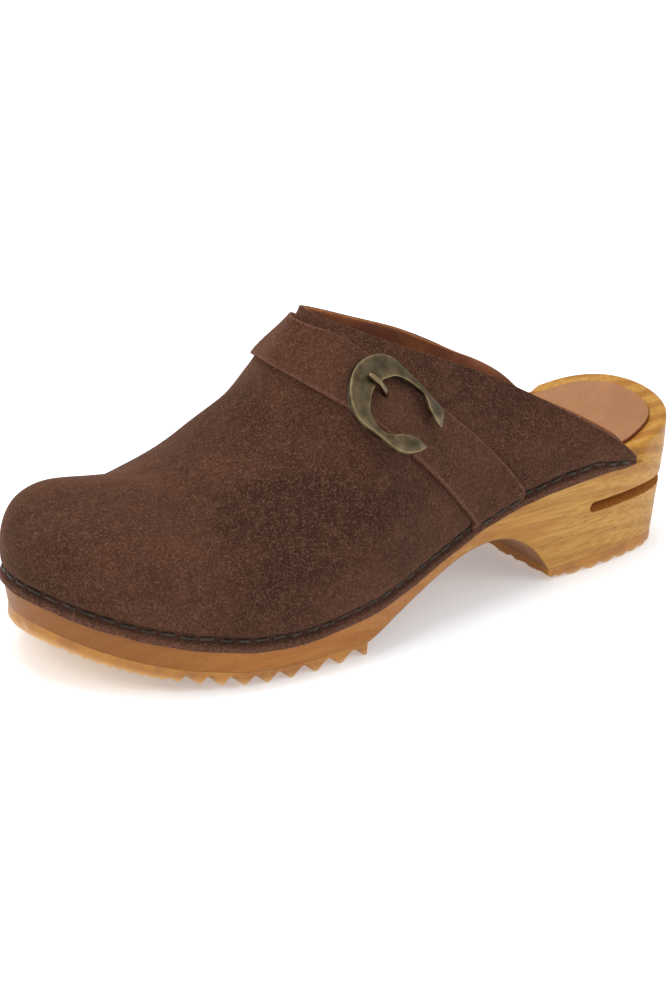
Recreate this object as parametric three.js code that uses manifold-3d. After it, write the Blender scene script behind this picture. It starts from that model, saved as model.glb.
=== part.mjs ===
// An open-backed clog for the left foot: a wooden sole on two rubber treads, an insole,
// a leather upper stapled round the wood, and a strap with a buckle over the instep.
// Millimetres. +X runs to the toe, +Y to the wearer's left, +Z up, and the origin is on
// the floor under the middle of the heel. Places along the shoe are measured from the
// back of the heel, and the whole model is moved back by HEEL_CENTRE at the end.

import * as THREE from "three";
import { mergeVertices } from "three/addons/utils/BufferGeometryUtils.js";
import Module from "manifold-3d";

const wasm = await Module();
wasm.setup();

// Driving sizes of the sole
const LENGTH = 255;
const BALL_WIDTH = 96;
const HEEL_WIDTH = 63;
const SEAT_HEIGHT = 40;
const TOE_SPRING = 14.8;
const TREAD_THICKNESS = 4.6;
const BOTTOM_INSET = 2;
const RIM_ROUNDING = 1.6;
const FOOTBED_DEPTH = 4;
const FOOTBED_RUN = 15;
const HEEL_CENTRE = 31;

// Arch, heel slot and tread lugs
const BREAST_AT = 62.5;
const ARCH_TOP_AT = 91;
const ARCH_HEIGHT = 21;
const TREAD_BACK_AT = 149.5;
const SLOT_HEIGHT = 3.9;
const SLOT_FLOOR = 21.3;
const SLOT_FRONT_AT = 47;
const LUG_PITCH = 10.8;
const LUG_DEPTH = 2.8;
const LUG_LAND = 3.4;
const LUG_FRONT_AT = 206;
const HEEL_LUG_PITCH = 8.2;
const HEEL_LUG_DEPTH = 1.8;
const HEEL_LUG_LAND = 3.6;
const TREAD_EDGE_INSET = 0.4;

// Upper, insole and strap
const UPPER_WALL = 2.2;
const INSTEP_HEIGHT = 103;
const INSTEP_AT = 150;
const POLE_AT = 200;
const CORNER_AT = 27;
const COLLAR_HALF_WIDTH = 23;
const LIP_PROUD = 1.2;
const GROOVE_PROUD = 0.2;
const STAPLE_GROOVE_HEIGHT = 4;
const INSOLE_THICKNESS = 1.3;
const INSOLE_MARGIN = 6;
const GAP = 0.3;

const REBATE = UPPER_WALL + GAP - GROOVE_PROUD;
const REBATE_FADE = 4;

// Outline of the sole: half widths to the lateral and medial side as shares of the local
// width, which turns from HEEL_WIDTH to BALL_WIDTH along the waist
const OUTLINE = [
  { at: 0.0, lateral: 0.0, medial: 0.0 },
  { at: 0.015, lateral: 0.252, medial: 0.248 },
  { at: 0.05, lateral: 0.388, medial: 0.386 },
  { at: 0.1, lateral: 0.452, medial: 0.452 },
  { at: 0.18, lateral: 0.497, medial: 0.495 },
  { at: 0.3, lateral: 0.516, medial: 0.47 },
  { at: 0.4, lateral: 0.484, medial: 0.393 },
  { at: 0.5, lateral: 0.472, medial: 0.346 },
  { at: 0.6, lateral: 0.493, medial: 0.38 },
  { at: 0.68, lateral: 0.508, medial: 0.438 },
  { at: 0.76, lateral: 0.5, medial: 0.482 },
  { at: 0.84, lateral: 0.452, medial: 0.452 },
  { at: 0.9, lateral: 0.378, medial: 0.367 },
  { at: 0.95, lateral: 0.275, medial: 0.265 },
  { at: 0.985, lateral: 0.15, medial: 0.144 },
  { at: 1.0, lateral: 0.0, medial: 0.0 },
];

// Heights above the tread's ground line as shares of SEAT_HEIGHT: the lower edge of the
// leather, the rim of the footbed and its dish; lift is a share of TOE_SPRING
const HEIGHTS = [
  { at: 0.0, edge: 0.86, rim: 1.18, lift: 0.0 },
  { at: 0.06, edge: 0.86, rim: 1.08, lift: 0.0 },
  { at: 0.12, edge: 0.87, rim: 1.0, lift: 0.0 },
  { at: 0.19, edge: 0.885, rim: 0.995, lift: 0.0 },
  { at: 0.25, edge: 0.86, rim: 0.98, lift: 0.0 },
  { at: 0.31, edge: 0.8, rim: 0.94, lift: 0.0 },
  { at: 0.38, edge: 0.69, rim: 0.87, lift: 0.0 },
  { at: 0.47, edge: 0.555, rim: 0.76, lift: 0.0 },
  { at: 0.54, edge: 0.455, rim: 0.69, lift: 0.0 },
  { at: 0.61, edge: 0.385, rim: 0.63, lift: 0.0 },
  { at: 0.7, edge: 0.325, rim: 0.58, lift: 0.0 },
  { at: 0.76, edge: 0.318, rim: 0.565, lift: 0.04 },
  { at: 0.82, edge: 0.322, rim: 0.56, lift: 0.17 },
  { at: 0.88, edge: 0.325, rim: 0.55, lift: 0.35 },
  { at: 0.94, edge: 0.32, rim: 0.53, lift: 0.62 },
  { at: 1.0, edge: 0.31, rim: 0.51, lift: 1.0 },
];

// Crest of the upper from the collar to the toe, as shares of INSTEP_HEIGHT
const CREST = [
  { at: 0.0, height: 1.0 },
  { at: 0.25, height: 0.77 },
  { at: 0.5, height: 0.658 },
  { at: 0.75, height: 0.582 },
  { at: 1.0, height: 0.538 },
];

// Collar from the instep to the rear corner, as shares of INSTEP_HEIGHT
const COLLAR = [
  { at: 0.0, height: 1.0 },
  { at: 0.25, height: 0.866 },
  { at: 0.5, height: 0.735 },
  { at: 0.75, height: 0.565 },
  { at: 1.0, height: 0.37 },
];

// Strap: where its rear and front edges lie along the shoe as shares of LENGTH, at shares
// of the climb from the leather's groove to the crest, the same on both sides
const STRAP = [
  { climb: 0.0, rear: 0.314, front: 0.400 },
  { climb: 0.12, rear: 0.332, front: 0.435 },
  { climb: 0.28, rear: 0.360, front: 0.480 },
  { climb: 0.4, rear: 0.383, front: 0.527 },
  { climb: 0.56, rear: 0.420, front: 0.590 },
  { climb: 0.7, rear: 0.469, front: 0.605 },
  { climb: 0.82, rear: 0.531, front: 0.614 },
  { climb: 0.9, rear: 0.577, front: 0.620 },
  { climb: 1.0, rear: 0.594, front: 0.626 },
];
const STRAP_THICKNESS = 1.8;

// Buckle on the lateral side of the strap, in the plane that touches the upper at its
// centre: its open ring as a middle line with its width and how far it stands off, all
// as shares of BUCKLE_RADIUS
const BUCKLE_AT = 134.9;
const BUCKLE_CLIMB = 0.567;
const BUCKLE_THICKNESS = 2;
const BUCKLE_BEVEL = 0.6;
const BUCKLE_STAND_OFF = 0.6;
const BUCKLE_HEIGHT = GAP + STRAP_THICKNESS + BUCKLE_STAND_OFF;
const BUCKLE_SAG = 0.8;
const BUCKLE_RADIUS = 15;
const BUCKLE = [
  { along: 1.113, across: 0.360, width: 0.053, lift: 0.173 },
  { along: 0.820, across: 0.553, width: 0.400, lift: 0.147 },
  { along: 0.473, across: 0.767, width: 0.160, lift: 0.080 },
  { along: 0.173, across: 0.833, width: 0.153, lift: 0.027 },
  { along: -0.207, across: 0.820, width: 0.267, lift: 0.000 },
  { along: -0.573, across: 0.660, width: 0.427, lift: 0.000 },
  { along: -0.867, across: 0.307, width: 0.467, lift: 0.000 },
  { along: -1.000, across: -0.113, width: 0.453, lift: 0.000 },
  { along: -0.933, across: -0.547, width: 0.413, lift: 0.000 },
  { along: -0.707, across: -0.853, width: 0.320, lift: 0.000 },
  { along: -0.340, across: -0.987, width: 0.187, lift: 0.000 },
  { along: -0.027, across: -0.973, width: 0.187, lift: 0.027 },
  { along: 0.300, across: -0.907, width: 0.400, lift: 0.147 },
  { along: 0.620, across: -0.673, width: 0.333, lift: 0.160 },
  { along: 0.920, across: -0.433, width: 0.053, lift: 0.173 },
];
const PRONG_FROM = -15;
const PRONG_TO = -4.6;
const PRONG_ACROSS = 0.4;
const PRONG_WIDTH = 1.9;
const PRONG_HOLE_RADIUS = 1.7;

// Smooth curve through the rows of a table that never overshoots its values
function monotoneCurve(xs, ys) {
  const count = xs.length;
  const slopes = [];
  for (let k = 0; k < count - 1; k++) slopes.push((ys[k + 1] - ys[k]) / (xs[k + 1] - xs[k]));
  const tangents = [slopes[0]];
  for (let k = 1; k < count - 1; k++) {
    const product = slopes[k - 1] * slopes[k];
    tangents.push(product > 0 ? (2 * product) / (slopes[k - 1] + slopes[k]) : 0);
  }
  tangents.push(slopes[count - 2]);
  return (x) => {
    const clamped = Math.min(Math.max(x, xs[0]), xs[count - 1]);
    let k = 0;
    while (k < count - 2 && clamped > xs[k + 1]) k++;
    const span = xs[k + 1] - xs[k];
    const t = (clamped - xs[k]) / span;
    const t2 = t * t;
    const t3 = t2 * t;
    return (
      (2 * t3 - 3 * t2 + 1) * ys[k] +
      (t3 - 2 * t2 + t) * span * tangents[k] +
      (3 * t2 - 2 * t3) * ys[k + 1] +
      (t3 - t2) * span * tangents[k + 1]
    );
  };
}

function column(table, name, abscissa = (row) => row.at) {
  return monotoneCurve(table.map(abscissa), table.map((row) => row[name]));
}

const clamp01 = (value) => Math.min(Math.max(value, 0), 1);
const smoothStep = (t) => clamp01(t) ** 2 * (3 - 2 * clamp01(t));
const mix = (a, b, t) => a + (b - a) * t;

// The angle runs from 0 at the back of the heel to PI at the toe
const angleAt = (x) => Math.acos(1 - 2 * clamp01(x / LENGTH));
const placeAt = (angle) => (LENGTH / 2) * (1 - Math.cos(angle));
const rowAngle = (row) => angleAt(row.at * LENGTH);

const lateralShare = column(OUTLINE, "lateral", rowAngle);
const medialShare = column(OUTLINE, "medial", rowAngle);
const edgeShare = column(HEIGHTS, "edge");
const rimShare = column(HEIGHTS, "rim");
const liftShare = column(HEIGHTS, "lift");
const crestShare = column(CREST, "height");
const collarShare = column(COLLAR, "height");

const WAIST_START = 0.3;
const WAIST_END = 0.6;
const localWidth = (x) =>
  mix(HEEL_WIDTH, BALL_WIDTH, smoothStep((x / LENGTH - WAIST_START) / (WAIST_END - WAIST_START)));
const liftAt = (x) => liftShare(x / LENGTH) * TOE_SPRING;
const edgeHeight = (x) => edgeShare(x / LENGTH) * SEAT_HEIGHT + liftAt(x);
const rimHeight = (x) => rimShare(x / LENGTH) * SEAT_HEIGHT + liftAt(x);
const soleBottom = (x) => TREAD_THICKNESS + liftAt(x);

// Point of the outline on one side, pushed outwards along the outline's own normal
const LATERAL = 1;
const MEDIAL = -1;
function outlineY(side, angle) {
  const share = side === LATERAL ? lateralShare(angle) : medialShare(angle);
  return side * share * localWidth(placeAt(angle));
}

const ANGLE_STEP = 0.01;
function outlinePoint(side, angle, outwards = 0) {
  const mirrored = angle < 0 || angle > Math.PI;
  const realAngle = angle < 0 ? -angle : Math.min(angle, 2 * Math.PI - angle);
  const realSide = mirrored ? -side : side;
  const point = new THREE.Vector2(placeAt(realAngle), outlineY(realSide, realAngle));
  if (outwards === 0) return point;
  const before = outlinePoint(side, angle - ANGLE_STEP);
  const after = outlinePoint(side, angle + ANGLE_STEP);
  const tangent = after.sub(before).normalize();
  const normal = new THREE.Vector2(-tangent.y, tangent.x).multiplyScalar(side);
  return point.add(normal.multiplyScalar(outwards));
}

// Closed body from loose triangles: shared vertices are merged and slivers dropped
function solidGeometry(positions, triangles) {
  const loose = new THREE.BufferGeometry();
  loose.setAttribute("position", new THREE.Float32BufferAttribute(positions, 3));
  loose.setIndex(triangles);
  const merged = mergeVertices(loose, 1e-4);
  const index = merged.getIndex().array;
  const kept = [];
  for (let k = 0; k < index.length; k += 3) {
    const [a, b, c] = [index[k], index[k + 1], index[k + 2]];
    if (a !== b && b !== c && c !== a) kept.push(a, b, c);
  }
  merged.setIndex(kept);
  return merged;
}

function toManifold(geometry) {
  const bare = geometry.clone();
  bare.deleteAttribute("normal");
  bare.deleteAttribute("uv");
  const merged = mergeVertices(bare, 1e-4);
  const vertProperties = new Float32Array(merged.getAttribute("position").array);
  const triVerts = new Uint32Array(merged.getIndex().array);
  return new wasm.Manifold(new wasm.Mesh({ numProp: 3, vertProperties, triVerts }));
}

function toGeometry(manifold) {
  const mesh = manifold.getMesh();
  const geometry = new THREE.BufferGeometry();
  geometry.setAttribute("position", new THREE.BufferAttribute(new Float32Array(mesh.vertProperties), 3));
  geometry.setIndex(new THREE.BufferAttribute(new Uint32Array(mesh.triVerts), 1));
  return geometry;
}

// Loops run from the heel along the lateral side to the toe and back along the medial side
const EVEN_STEPS = 44;
const REBATE_END_AT = CORNER_AT - GAP;
function loopAngles() {
  const angles = [angleAt(REBATE_END_AT), angleAt(REBATE_END_AT - REBATE_FADE)];
  for (let k = 0; k <= EVEN_STEPS; k++) angles.push((Math.PI * k) / EVEN_STEPS);
  return angles.sort((a, b) => a - b);
}
const LOOP_ANGLES = loopAngles();
const HALF_LOOP = LOOP_ANGLES.length - 1;
const LOOP = 2 * HALF_LOOP;
function outlineLoop(outwards, height) {
  const points = [];
  for (let k = 0; k < LOOP; k++) {
    const side = k <= HALF_LOOP ? LATERAL : MEDIAL;
    const angle = LOOP_ANGLES[k <= HALF_LOOP ? k : LOOP - k];
    const flat = outlinePoint(side, angle, outwards(placeAt(angle)));
    points.push(new THREE.Vector3(flat.x, flat.y, height(flat.x)));
  }
  return points;
}

// Solid through a stack of loops, closed by a ladder of rungs at its first and last loop
function loopSolid(loops) {
  const positions = loops.flat().flatMap((point) => point.toArray());
  const triangles = [];
  const quad = (a, b, c, d) => triangles.push(a, b, c, a, c, d);
  for (let level = 0; level < loops.length - 1; level++) {
    for (let k = 0; k < LOOP; k++) {
      const next = (k + 1) % LOOP;
      const low = level * LOOP;
      const high = low + LOOP;
      quad(low + k, high + k, high + next, low + next);
    }
  }
  const top = (loops.length - 1) * LOOP;
  for (let k = 0; k < HALF_LOOP; k++) {
    const otherSide = (LOOP - k) % LOOP;
    const otherNext = LOOP - k - 1;
    quad(top + otherSide, top + otherNext, top + k + 1, top + k);
    quad(k, k + 1, otherNext, otherSide);
  }
  return solidGeometry(positions, triangles);
}

// Extruded side profile that runs across the whole sole
function acrossSole(profile, curveSegments) {
  const depth = 2 * BALL_WIDTH;
  const geometry = new THREE.ExtrudeGeometry(profile, { depth, bevelEnabled: false, curveSegments });
  geometry.rotateX(Math.PI / 2);
  geometry.translate(0, depth / 2, 0);
  return geometry;
}

// Arch under the waist: a round breast at the heel, then a long fall to the forefoot
function archCutter() {
  const below = -2 * TREAD_THICKNESS;
  const breastRun = ARCH_TOP_AT - BREAST_AT;
  const forwardRun = TREAD_BACK_AT - ARCH_TOP_AT;
  const rise = ARCH_HEIGHT - TREAD_THICKNESS;
  const profile = new THREE.Shape();
  profile.moveTo(BREAST_AT, below);
  profile.lineTo(BREAST_AT, TREAD_THICKNESS);
  profile.bezierCurveTo(
    BREAST_AT + 0.2 * breastRun, TREAD_THICKNESS + 0.42 * rise,
    ARCH_TOP_AT - 0.52 * breastRun, ARCH_HEIGHT,
    ARCH_TOP_AT, ARCH_HEIGHT,
  );
  profile.bezierCurveTo(
    ARCH_TOP_AT + 0.33 * forwardRun, ARCH_HEIGHT,
    TREAD_BACK_AT - 0.33 * forwardRun, TREAD_THICKNESS + 0.42 * rise,
    TREAD_BACK_AT, TREAD_THICKNESS,
  );
  profile.lineTo(TREAD_BACK_AT, below);
  profile.closePath();
  return acrossSole(profile, 10);
}

// Saw slot through the heel from its back, with a round front end
function slotCutter() {
  const radius = SLOT_HEIGHT / 2;
  const back = -LENGTH / 10;
  const profile = new THREE.Shape();
  profile.moveTo(back, SLOT_FLOOR);
  profile.lineTo(SLOT_FRONT_AT - radius, SLOT_FLOOR);
  profile.absarc(SLOT_FRONT_AT - radius, SLOT_FLOOR + radius, radius, -Math.PI / 2, Math.PI / 2, false);
  profile.lineTo(back, SLOT_FLOOR + SLOT_HEIGHT);
  profile.closePath();
  return acrossSole(profile, 8);
}

// Footbed: distance inside the outline, and how much of the dish it has reached
const rebateAt = (x) => REBATE * clamp01((x - REBATE_END_AT + REBATE_FADE) / REBATE_FADE);
const FOOTBED_RINGS = [
  { inside: INSOLE_MARGIN, dish: 0.3 },
  { inside: INSOLE_MARGIN + 0.27 * FOOTBED_RUN, dish: 0.6 },
  { inside: INSOLE_MARGIN + 0.6 * FOOTBED_RUN, dish: 0.88 },
  { inside: INSOLE_MARGIN + FOOTBED_RUN, dish: 1.0 },
];
const CORNER_RUN = 8;
const shelfHeight = (x) => edgeHeight(x) - GAP * (1 + clamp01(1 - (x - CORNER_AT) / CORNER_RUN));
const footbedHeight = (ring) => (x) => rimHeight(x) - ring.dish * FOOTBED_DEPTH;

function woodSole() {
  const sideInset = (share) => (x) => -BOTTOM_INSET * share;
  const loops = [
    outlineLoop(sideInset(1), soleBottom),
    outlineLoop(sideInset(0), shelfHeight),
    outlineLoop((x) => -rebateAt(x), shelfHeight),
    outlineLoop((x) => -rebateAt(x), (x) => rimHeight(x) - RIM_ROUNDING),
    outlineLoop((x) => -rebateAt(x) - 0.3 * RIM_ROUNDING, (x) => rimHeight(x) - 0.3 * RIM_ROUNDING),
    outlineLoop((x) => -rebateAt(x) - RIM_ROUNDING, rimHeight),
    ...FOOTBED_RINGS.map((ring) => outlineLoop(() => -ring.inside, footbedHeight(ring))),
  ];
  const body = toManifold(loopSolid(loops));
  const arched = body.subtract(toManifold(archCutter()));
  return toGeometry(arched.subtract(toManifold(slotCutter())));
}

function insole() {
  const above = (ring, rise) => outlineLoop(() => -ring.inside, (x) => footbedHeight(ring)(x) + rise);
  const bottom = FOOTBED_RINGS.map((ring) => above(ring, GAP)).reverse();
  const top = FOOTBED_RINGS.map((ring) => above(ring, GAP + INSOLE_THICKNESS));
  return loopSolid([...bottom, ...top]);
}

// Rubber tread as a ladder of stations, its lower face cut into lugs with flat lands
function lugRise(x, centre, pitch, land, depth) {
  if (x > LUG_FRONT_AT) return 0;
  const along = Math.abs(((((x - centre) / pitch + 0.5) % 1) + 1) % 1 - 0.5) * pitch;
  const slopeRun = (pitch - land) / 2;
  return depth * clamp01((along - land / 2) / slopeRun);
}

function treadStations(from, to, centre, pitch, land) {
  const stations = [from, to];
  for (let k = 0; k <= 2 * EVEN_STEPS; k++) stations.push(placeAt((Math.PI * k) / (2 * EVEN_STEPS)));
  const first = Math.ceil((from - centre) / pitch) - 1;
  const last = Math.floor((to - centre) / pitch) + 1;
  for (let k = first; k <= last; k++) {
    stations.push(centre + k * pitch - land / 2, centre + k * pitch + land / 2, centre + (k + 0.5) * pitch);
  }
  const inside = stations.filter((x) => x >= from && x <= to).sort((a, b) => a - b);
  return inside.filter((x, k) => k === 0 || x - inside[k - 1] > 0.25);
}

function edgeAcross(side, x) {
  return outlinePoint(side, angleAt(x)).y - side * (BOTTOM_INSET + TREAD_EDGE_INSET);
}

function tread(from, to, centre, pitch, land, depth) {
  const positions = [];
  const triangles = [];
  const quad = (a, b, c, d) => triangles.push(a, b, c, a, c, d);
  const stations = treadStations(from, to, centre, pitch, land);
  stations.forEach((x) => {
    const left = edgeAcross(LATERAL, x);
    const right = edgeAcross(MEDIAL, x);
    const top = soleBottom(x) - GAP;
    const bottom = liftAt(x) + lugRise(x, centre, pitch, land, depth);
    positions.push(x, left, top, x, right, top, x, right, bottom, x, left, bottom);
  });
  for (let k = 0; k < stations.length - 1; k++) {
    const here = 4 * k;
    const next = here + 4;
    for (let corner = 0; corner < 4; corner++) {
      const other = (corner + 1) % 4;
      quad(here + corner, here + other, next + other, next + corner);
    }
  }
  const end = positions.length / 3 - 4;
  quad(3, 2, 1, 0);
  quad(end, end + 1, end + 2, end + 3);
  return solidGeometry(positions, triangles);
}

// Upper's outer face: each meridian starts at the lip of the leather, passes the staple
// groove and then climbs to the collar, to the crest or to the pole over the toes
const crestPlace = (x) => clamp01((x - INSTEP_AT) / (POLE_AT - INSTEP_AT));
function meridianTop(side, x) {
  if (x >= INSTEP_AT) {
    return new THREE.Vector3(Math.min(x, POLE_AT), 0, crestShare(crestPlace(x)) * INSTEP_HEIGHT);
  }
  const back = (INSTEP_AT - x) / (INSTEP_AT - CORNER_AT);
  const opening = 1 - Math.sqrt(1 - clamp01(back));
  const spread = Math.sqrt(1 - (1 - clamp01(opening / 0.55)) ** 2);
  const inwards = side * COLLAR_HALF_WIDTH * spread;
  const besideSole = outlineY(side, angleAt(x)) + side * GROOVE_PROUD;
  const y = mix(inwards, besideSole, smoothStep((back - 0.5) / 0.4));
  return new THREE.Vector3(x, y, collarShare(back) * INSTEP_HEIGHT);
}

const SIDE_RISE = 0.6;
const SIDE_RISE_TOE = 0.88;
const SIDE_BULGE = 0.04;
const SIDE_BULGE_TOE = 0.14;
const TOP_RUN_INSTEP = 0.3;
const TOP_RUN_VAMP = 0.44;
const TOP_RUN_TOE = 0.86;
const CREST_SLOPE = 0.4;
const RIDGE_DROOP = 0.16;
const COLLAR_DROOP = 0.45;
function grooveRows(side, angle, tall) {
  const edge = edgeHeight(placeAt(angle));
  const squeeze = Math.min(1, tall / (4 * STAPLE_GROOVE_HEIGHT));
  const step = STAPLE_GROOVE_HEIGHT * squeeze;
  const lip = mix(GROOVE_PROUD, LIP_PROUD, squeeze);
  const at = (outwards, z) => {
    const flat = outlinePoint(side, angle, outwards);
    return new THREE.Vector3(flat.x, flat.y, z);
  };
  return [
    at(lip, edge),
    at(lip + 0.1 * squeeze, edge + 0.4 * step),
    at(GROOVE_PROUD, edge + 0.8 * step),
    at(GROOVE_PROUD, edge + 1.1 * step),
    at(lip, edge + 1.6 * step),
  ];
}

function climb(side, angle, base, top) {
  const x = placeAt(angle);
  const height = top.z - base.z;
  const outwards = new THREE.Vector3(base.x - top.x, base.y - top.y, 0);
  if (x < POLE_AT) outwards.x = 0;
  const width = outwards.length();
  const forward = width > 0 ? outwards.x / width : 0;
  const fan = smoothStep((x - POLE_AT) / (LENGTH - POLE_AT));
  const ridge = RIDGE_DROOP * (1 - crestPlace(x)) ** 2;
  const droop = mix(ridge, COLLAR_DROOP, smoothStep((INSTEP_AT - x) / (INSTEP_AT - CORNER_AT) / 0.6));
  const straight = outlinePoint(side, angle);
  const bulged = outlinePoint(side, angle, mix(SIDE_BULGE, SIDE_BULGE_TOE, fan) * height);
  const control1 = base.clone();
  control1.x += bulged.x - straight.x;
  control1.y += bulged.y - straight.y;
  control1.z += mix(SIDE_RISE, SIDE_RISE_TOE, fan) * height;
  const topRun = mix(mix(TOP_RUN_INSTEP, TOP_RUN_VAMP, crestPlace(x)), TOP_RUN_TOE, fan);
  const control2 = top.clone().addScaledVector(outwards, topRun);
  control2.z -= droop * height + CREST_SLOPE * forward * topRun * width * (1 - fan);
  return new THREE.CubicBezierCurve3(base, control1, control2, top);
}

function meridian(side, angle) {
  const top = meridianTop(side, placeAt(angle));
  const groove = grooveRows(side, angle, top.z - edgeHeight(placeAt(angle)));
  return { groove, rise: climb(side, angle, groove.at(-1), top) };
}

const CLIMB_ROWS = 9;
const COLLAR_STEPS = 15;
const CREST_STEPS = 5;
const TOE_STEPS = 9;
function sideAngles() {
  const angles = [];
  for (let k = 0; k < COLLAR_STEPS; k++) {
    const back = (1 + Math.cos((Math.PI * k) / COLLAR_STEPS)) / 2;
    angles.push(angleAt(INSTEP_AT - (INSTEP_AT - CORNER_AT) * back));
  }
  for (let k = 0; k < CREST_STEPS; k++) angles.push(angleAt(mix(INSTEP_AT, POLE_AT, k / CREST_STEPS)));
  for (let k = 0; k < TOE_STEPS; k++) angles.push(mix(angleAt(POLE_AT), Math.PI, k / TOE_STEPS));
  return angles;
}

function upperLine(side, angle) {
  const { groove, rise } = meridian(side, angle);
  return [...groove, ...rise.getPoints(CLIMB_ROWS).slice(1)];
}

function upperSurface() {
  const angles = sideAngles();
  const lateral = angles.map((angle) => upperLine(LATERAL, angle));
  const toe = upperLine(LATERAL, Math.PI);
  const medial = angles.map((angle) => upperLine(MEDIAL, angle)).reverse();
  return gridSurface([...lateral, toe, ...medial]);
}

// Open surface from rows of points; neighbours that coincide are merged
function gridSurface(lines) {
  const positions = lines.flat().flatMap((point) => point.toArray());
  const count = lines[0].length;
  const triangles = [];
  for (let line = 0; line < lines.length - 1; line++) {
    for (let k = 0; k < count - 1; k++) {
      const a = line * count + k;
      const b = a + count;
      triangles.push(a, a + 1, b + 1, a, b + 1, b);
    }
  }
  return solidGeometry(positions, triangles);
}

// Wall between two offsets of an open surface, stitched round the surface's border
function thicken(surface, inner, outer) {
  surface.computeVertexNormals();
  const points = surface.getAttribute("position");
  const normals = surface.getAttribute("normal");
  const index = surface.getIndex().array;
  const count = points.count;
  const positions = [];
  for (const offset of [outer, inner]) {
    for (let k = 0; k < count; k++) {
      positions.push(
        points.getX(k) + offset * normals.getX(k),
        points.getY(k) + offset * normals.getY(k),
        points.getZ(k) + offset * normals.getZ(k),
      );
    }
  }
  const triangles = [];
  const edges = new Map();
  for (let k = 0; k < index.length; k += 3) {
    const corners = [index[k], index[k + 1], index[k + 2]];
    triangles.push(corners[0], corners[1], corners[2]);
    triangles.push(corners[0] + count, corners[2] + count, corners[1] + count);
    corners.forEach((a, side) => {
      const b = corners[(side + 1) % 3];
      if (edges.has(`${b},${a}`)) edges.delete(`${b},${a}`);
      else edges.set(`${a},${b}`, [a, b]);
    });
  }
  for (const [a, b] of edges.values()) {
    triangles.push(b, a, a + count, b, a + count, b + count);
  }
  return solidGeometry(positions, triangles);
}

// Strap over the upper's outer face, from lip to lip across the instep
const rearShare = column(STRAP, "rear", (row) => row.climb);
const frontShare = column(STRAP, "front", (row) => row.climb);
const strapRear = (climb) => rearShare(climb) * LENGTH;
const strapFront = (climb) => frontShare(climb) * LENGTH;
const STRAP_ROWS = 15;
const STRAP_COLUMNS = 6;
function strapRow(side, row) {
  const points = [];
  for (let k = 0; k <= STRAP_COLUMNS; k++) {
    const share = Math.max(row, 0);
    const x = mix(strapRear(share), strapFront(share), k / STRAP_COLUMNS);
    const { groove, rise } = meridian(side, angleAt(x));
    points.push(row < 0 ? groove.at(row - 1) : rise.getPoint(share));
  }
  return points;
}

function strapSurface() {
  const shares = [-4, -3, -2, -1];
  for (let k = 0; k < STRAP_ROWS; k++) shares.push(k / STRAP_ROWS);
  const lateral = shares.map((share) => strapRow(LATERAL, share));
  const medial = shares.map((share) => strapRow(MEDIAL, share)).reverse();
  return gridSurface([...lateral, strapRow(LATERAL, 1), ...medial].map((row) => row.reverse()));
}

// The strap's underside is cut to the upper's own facets, a gap above them, and the
// slivers that the cut leaves inside the leather are dropped
function strap() {
  const raw = toManifold(thicken(strapSurface(), -UPPER_WALL / 2, GAP + STRAP_THICKNESS));
  const covered = toManifold(thicken(upperSurface(), -UPPER_WALL, GAP));
  const hole = new THREE.CylinderGeometry(PRONG_HOLE_RADIUS, PRONG_HOLE_RADIUS, 4 * STRAP_THICKNESS, 12);
  hole.rotateX(Math.PI / 2);
  hole.translate(PRONG_TO, PRONG_ACROSS, 0);
  const bare = raw.subtract(covered).subtract(toManifold(thicken(upperSurface(), -UPPER_WALL, 0)));
  const bodies = bare.subtract(toManifold(hole.applyMatrix4(buckleFrame()))).decompose();
  bodies.sort((a, b) => b.volume() - a.volume());
  return toGeometry(bodies[0]);
}

// Frame of the buckle: along the strap towards its end, across it, and off the upper
function buckleFrame() {
  const on = (x, share) => meridian(LATERAL, angleAt(x)).rise.getPoint(share);
  const centre = on(BUCKLE_AT, BUCKLE_CLIMB);
  const forward = on(BUCKLE_AT + 4, BUCKLE_CLIMB).sub(on(BUCKLE_AT - 4, BUCKLE_CLIMB));
  const upward = on(BUCKLE_AT, BUCKLE_CLIMB + 0.05).sub(on(BUCKLE_AT, BUCKLE_CLIMB - 0.05));
  const off = upward.clone().cross(forward).normalize();
  const along = strapMiddle(BUCKLE_CLIMB - 0.15).sub(strapMiddle(BUCKLE_CLIMB + 0.15));
  along.addScaledVector(off, -along.dot(off)).normalize();
  const across = off.clone().cross(along);
  return new THREE.Matrix4().makeBasis(along, across, off).setPosition(centre);
}

function strapMiddle(share) {
  const x = mix(strapRear(share), strapFront(share), 0.5);
  return meridian(LATERAL, angleAt(x)).rise.getPoint(share);
}

// Solid along a line of sections, each a ring of points, closed flat at both ends
function sectionSolid(sections) {
  const count = sections[0].length;
  const positions = sections.flat().flatMap((point) => point.toArray());
  const triangles = [];
  for (let row = 0; row < sections.length - 1; row++) {
    for (let k = 0; k < count; k++) {
      const a = row * count + k;
      const b = row * count + ((k + 1) % count);
      triangles.push(a, b, b + count, a, b + count, a + count);
    }
  }
  const last = (sections.length - 1) * count;
  for (let k = 1; k < count - 1; k++) {
    triangles.push(0, k + 1, k);
    triangles.push(last, last + k, last + k + 1);
  }
  return solidGeometry(positions, triangles);
}

const BUCKLE_STEPS = 42;
function ringPath() {
  const middle = (row) => new THREE.Vector3(row.along, row.across, row.lift).multiplyScalar(BUCKLE_RADIUS);
  const spot = new THREE.CatmullRomCurve3(BUCKLE.map(middle));
  const width = new THREE.SplineCurve(BUCKLE.map((row, k) => new THREE.Vector2(k, row.width)));
  return { spot, width: (t) => width.getPoint(t).y * BUCKLE_RADIUS };
}

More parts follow.
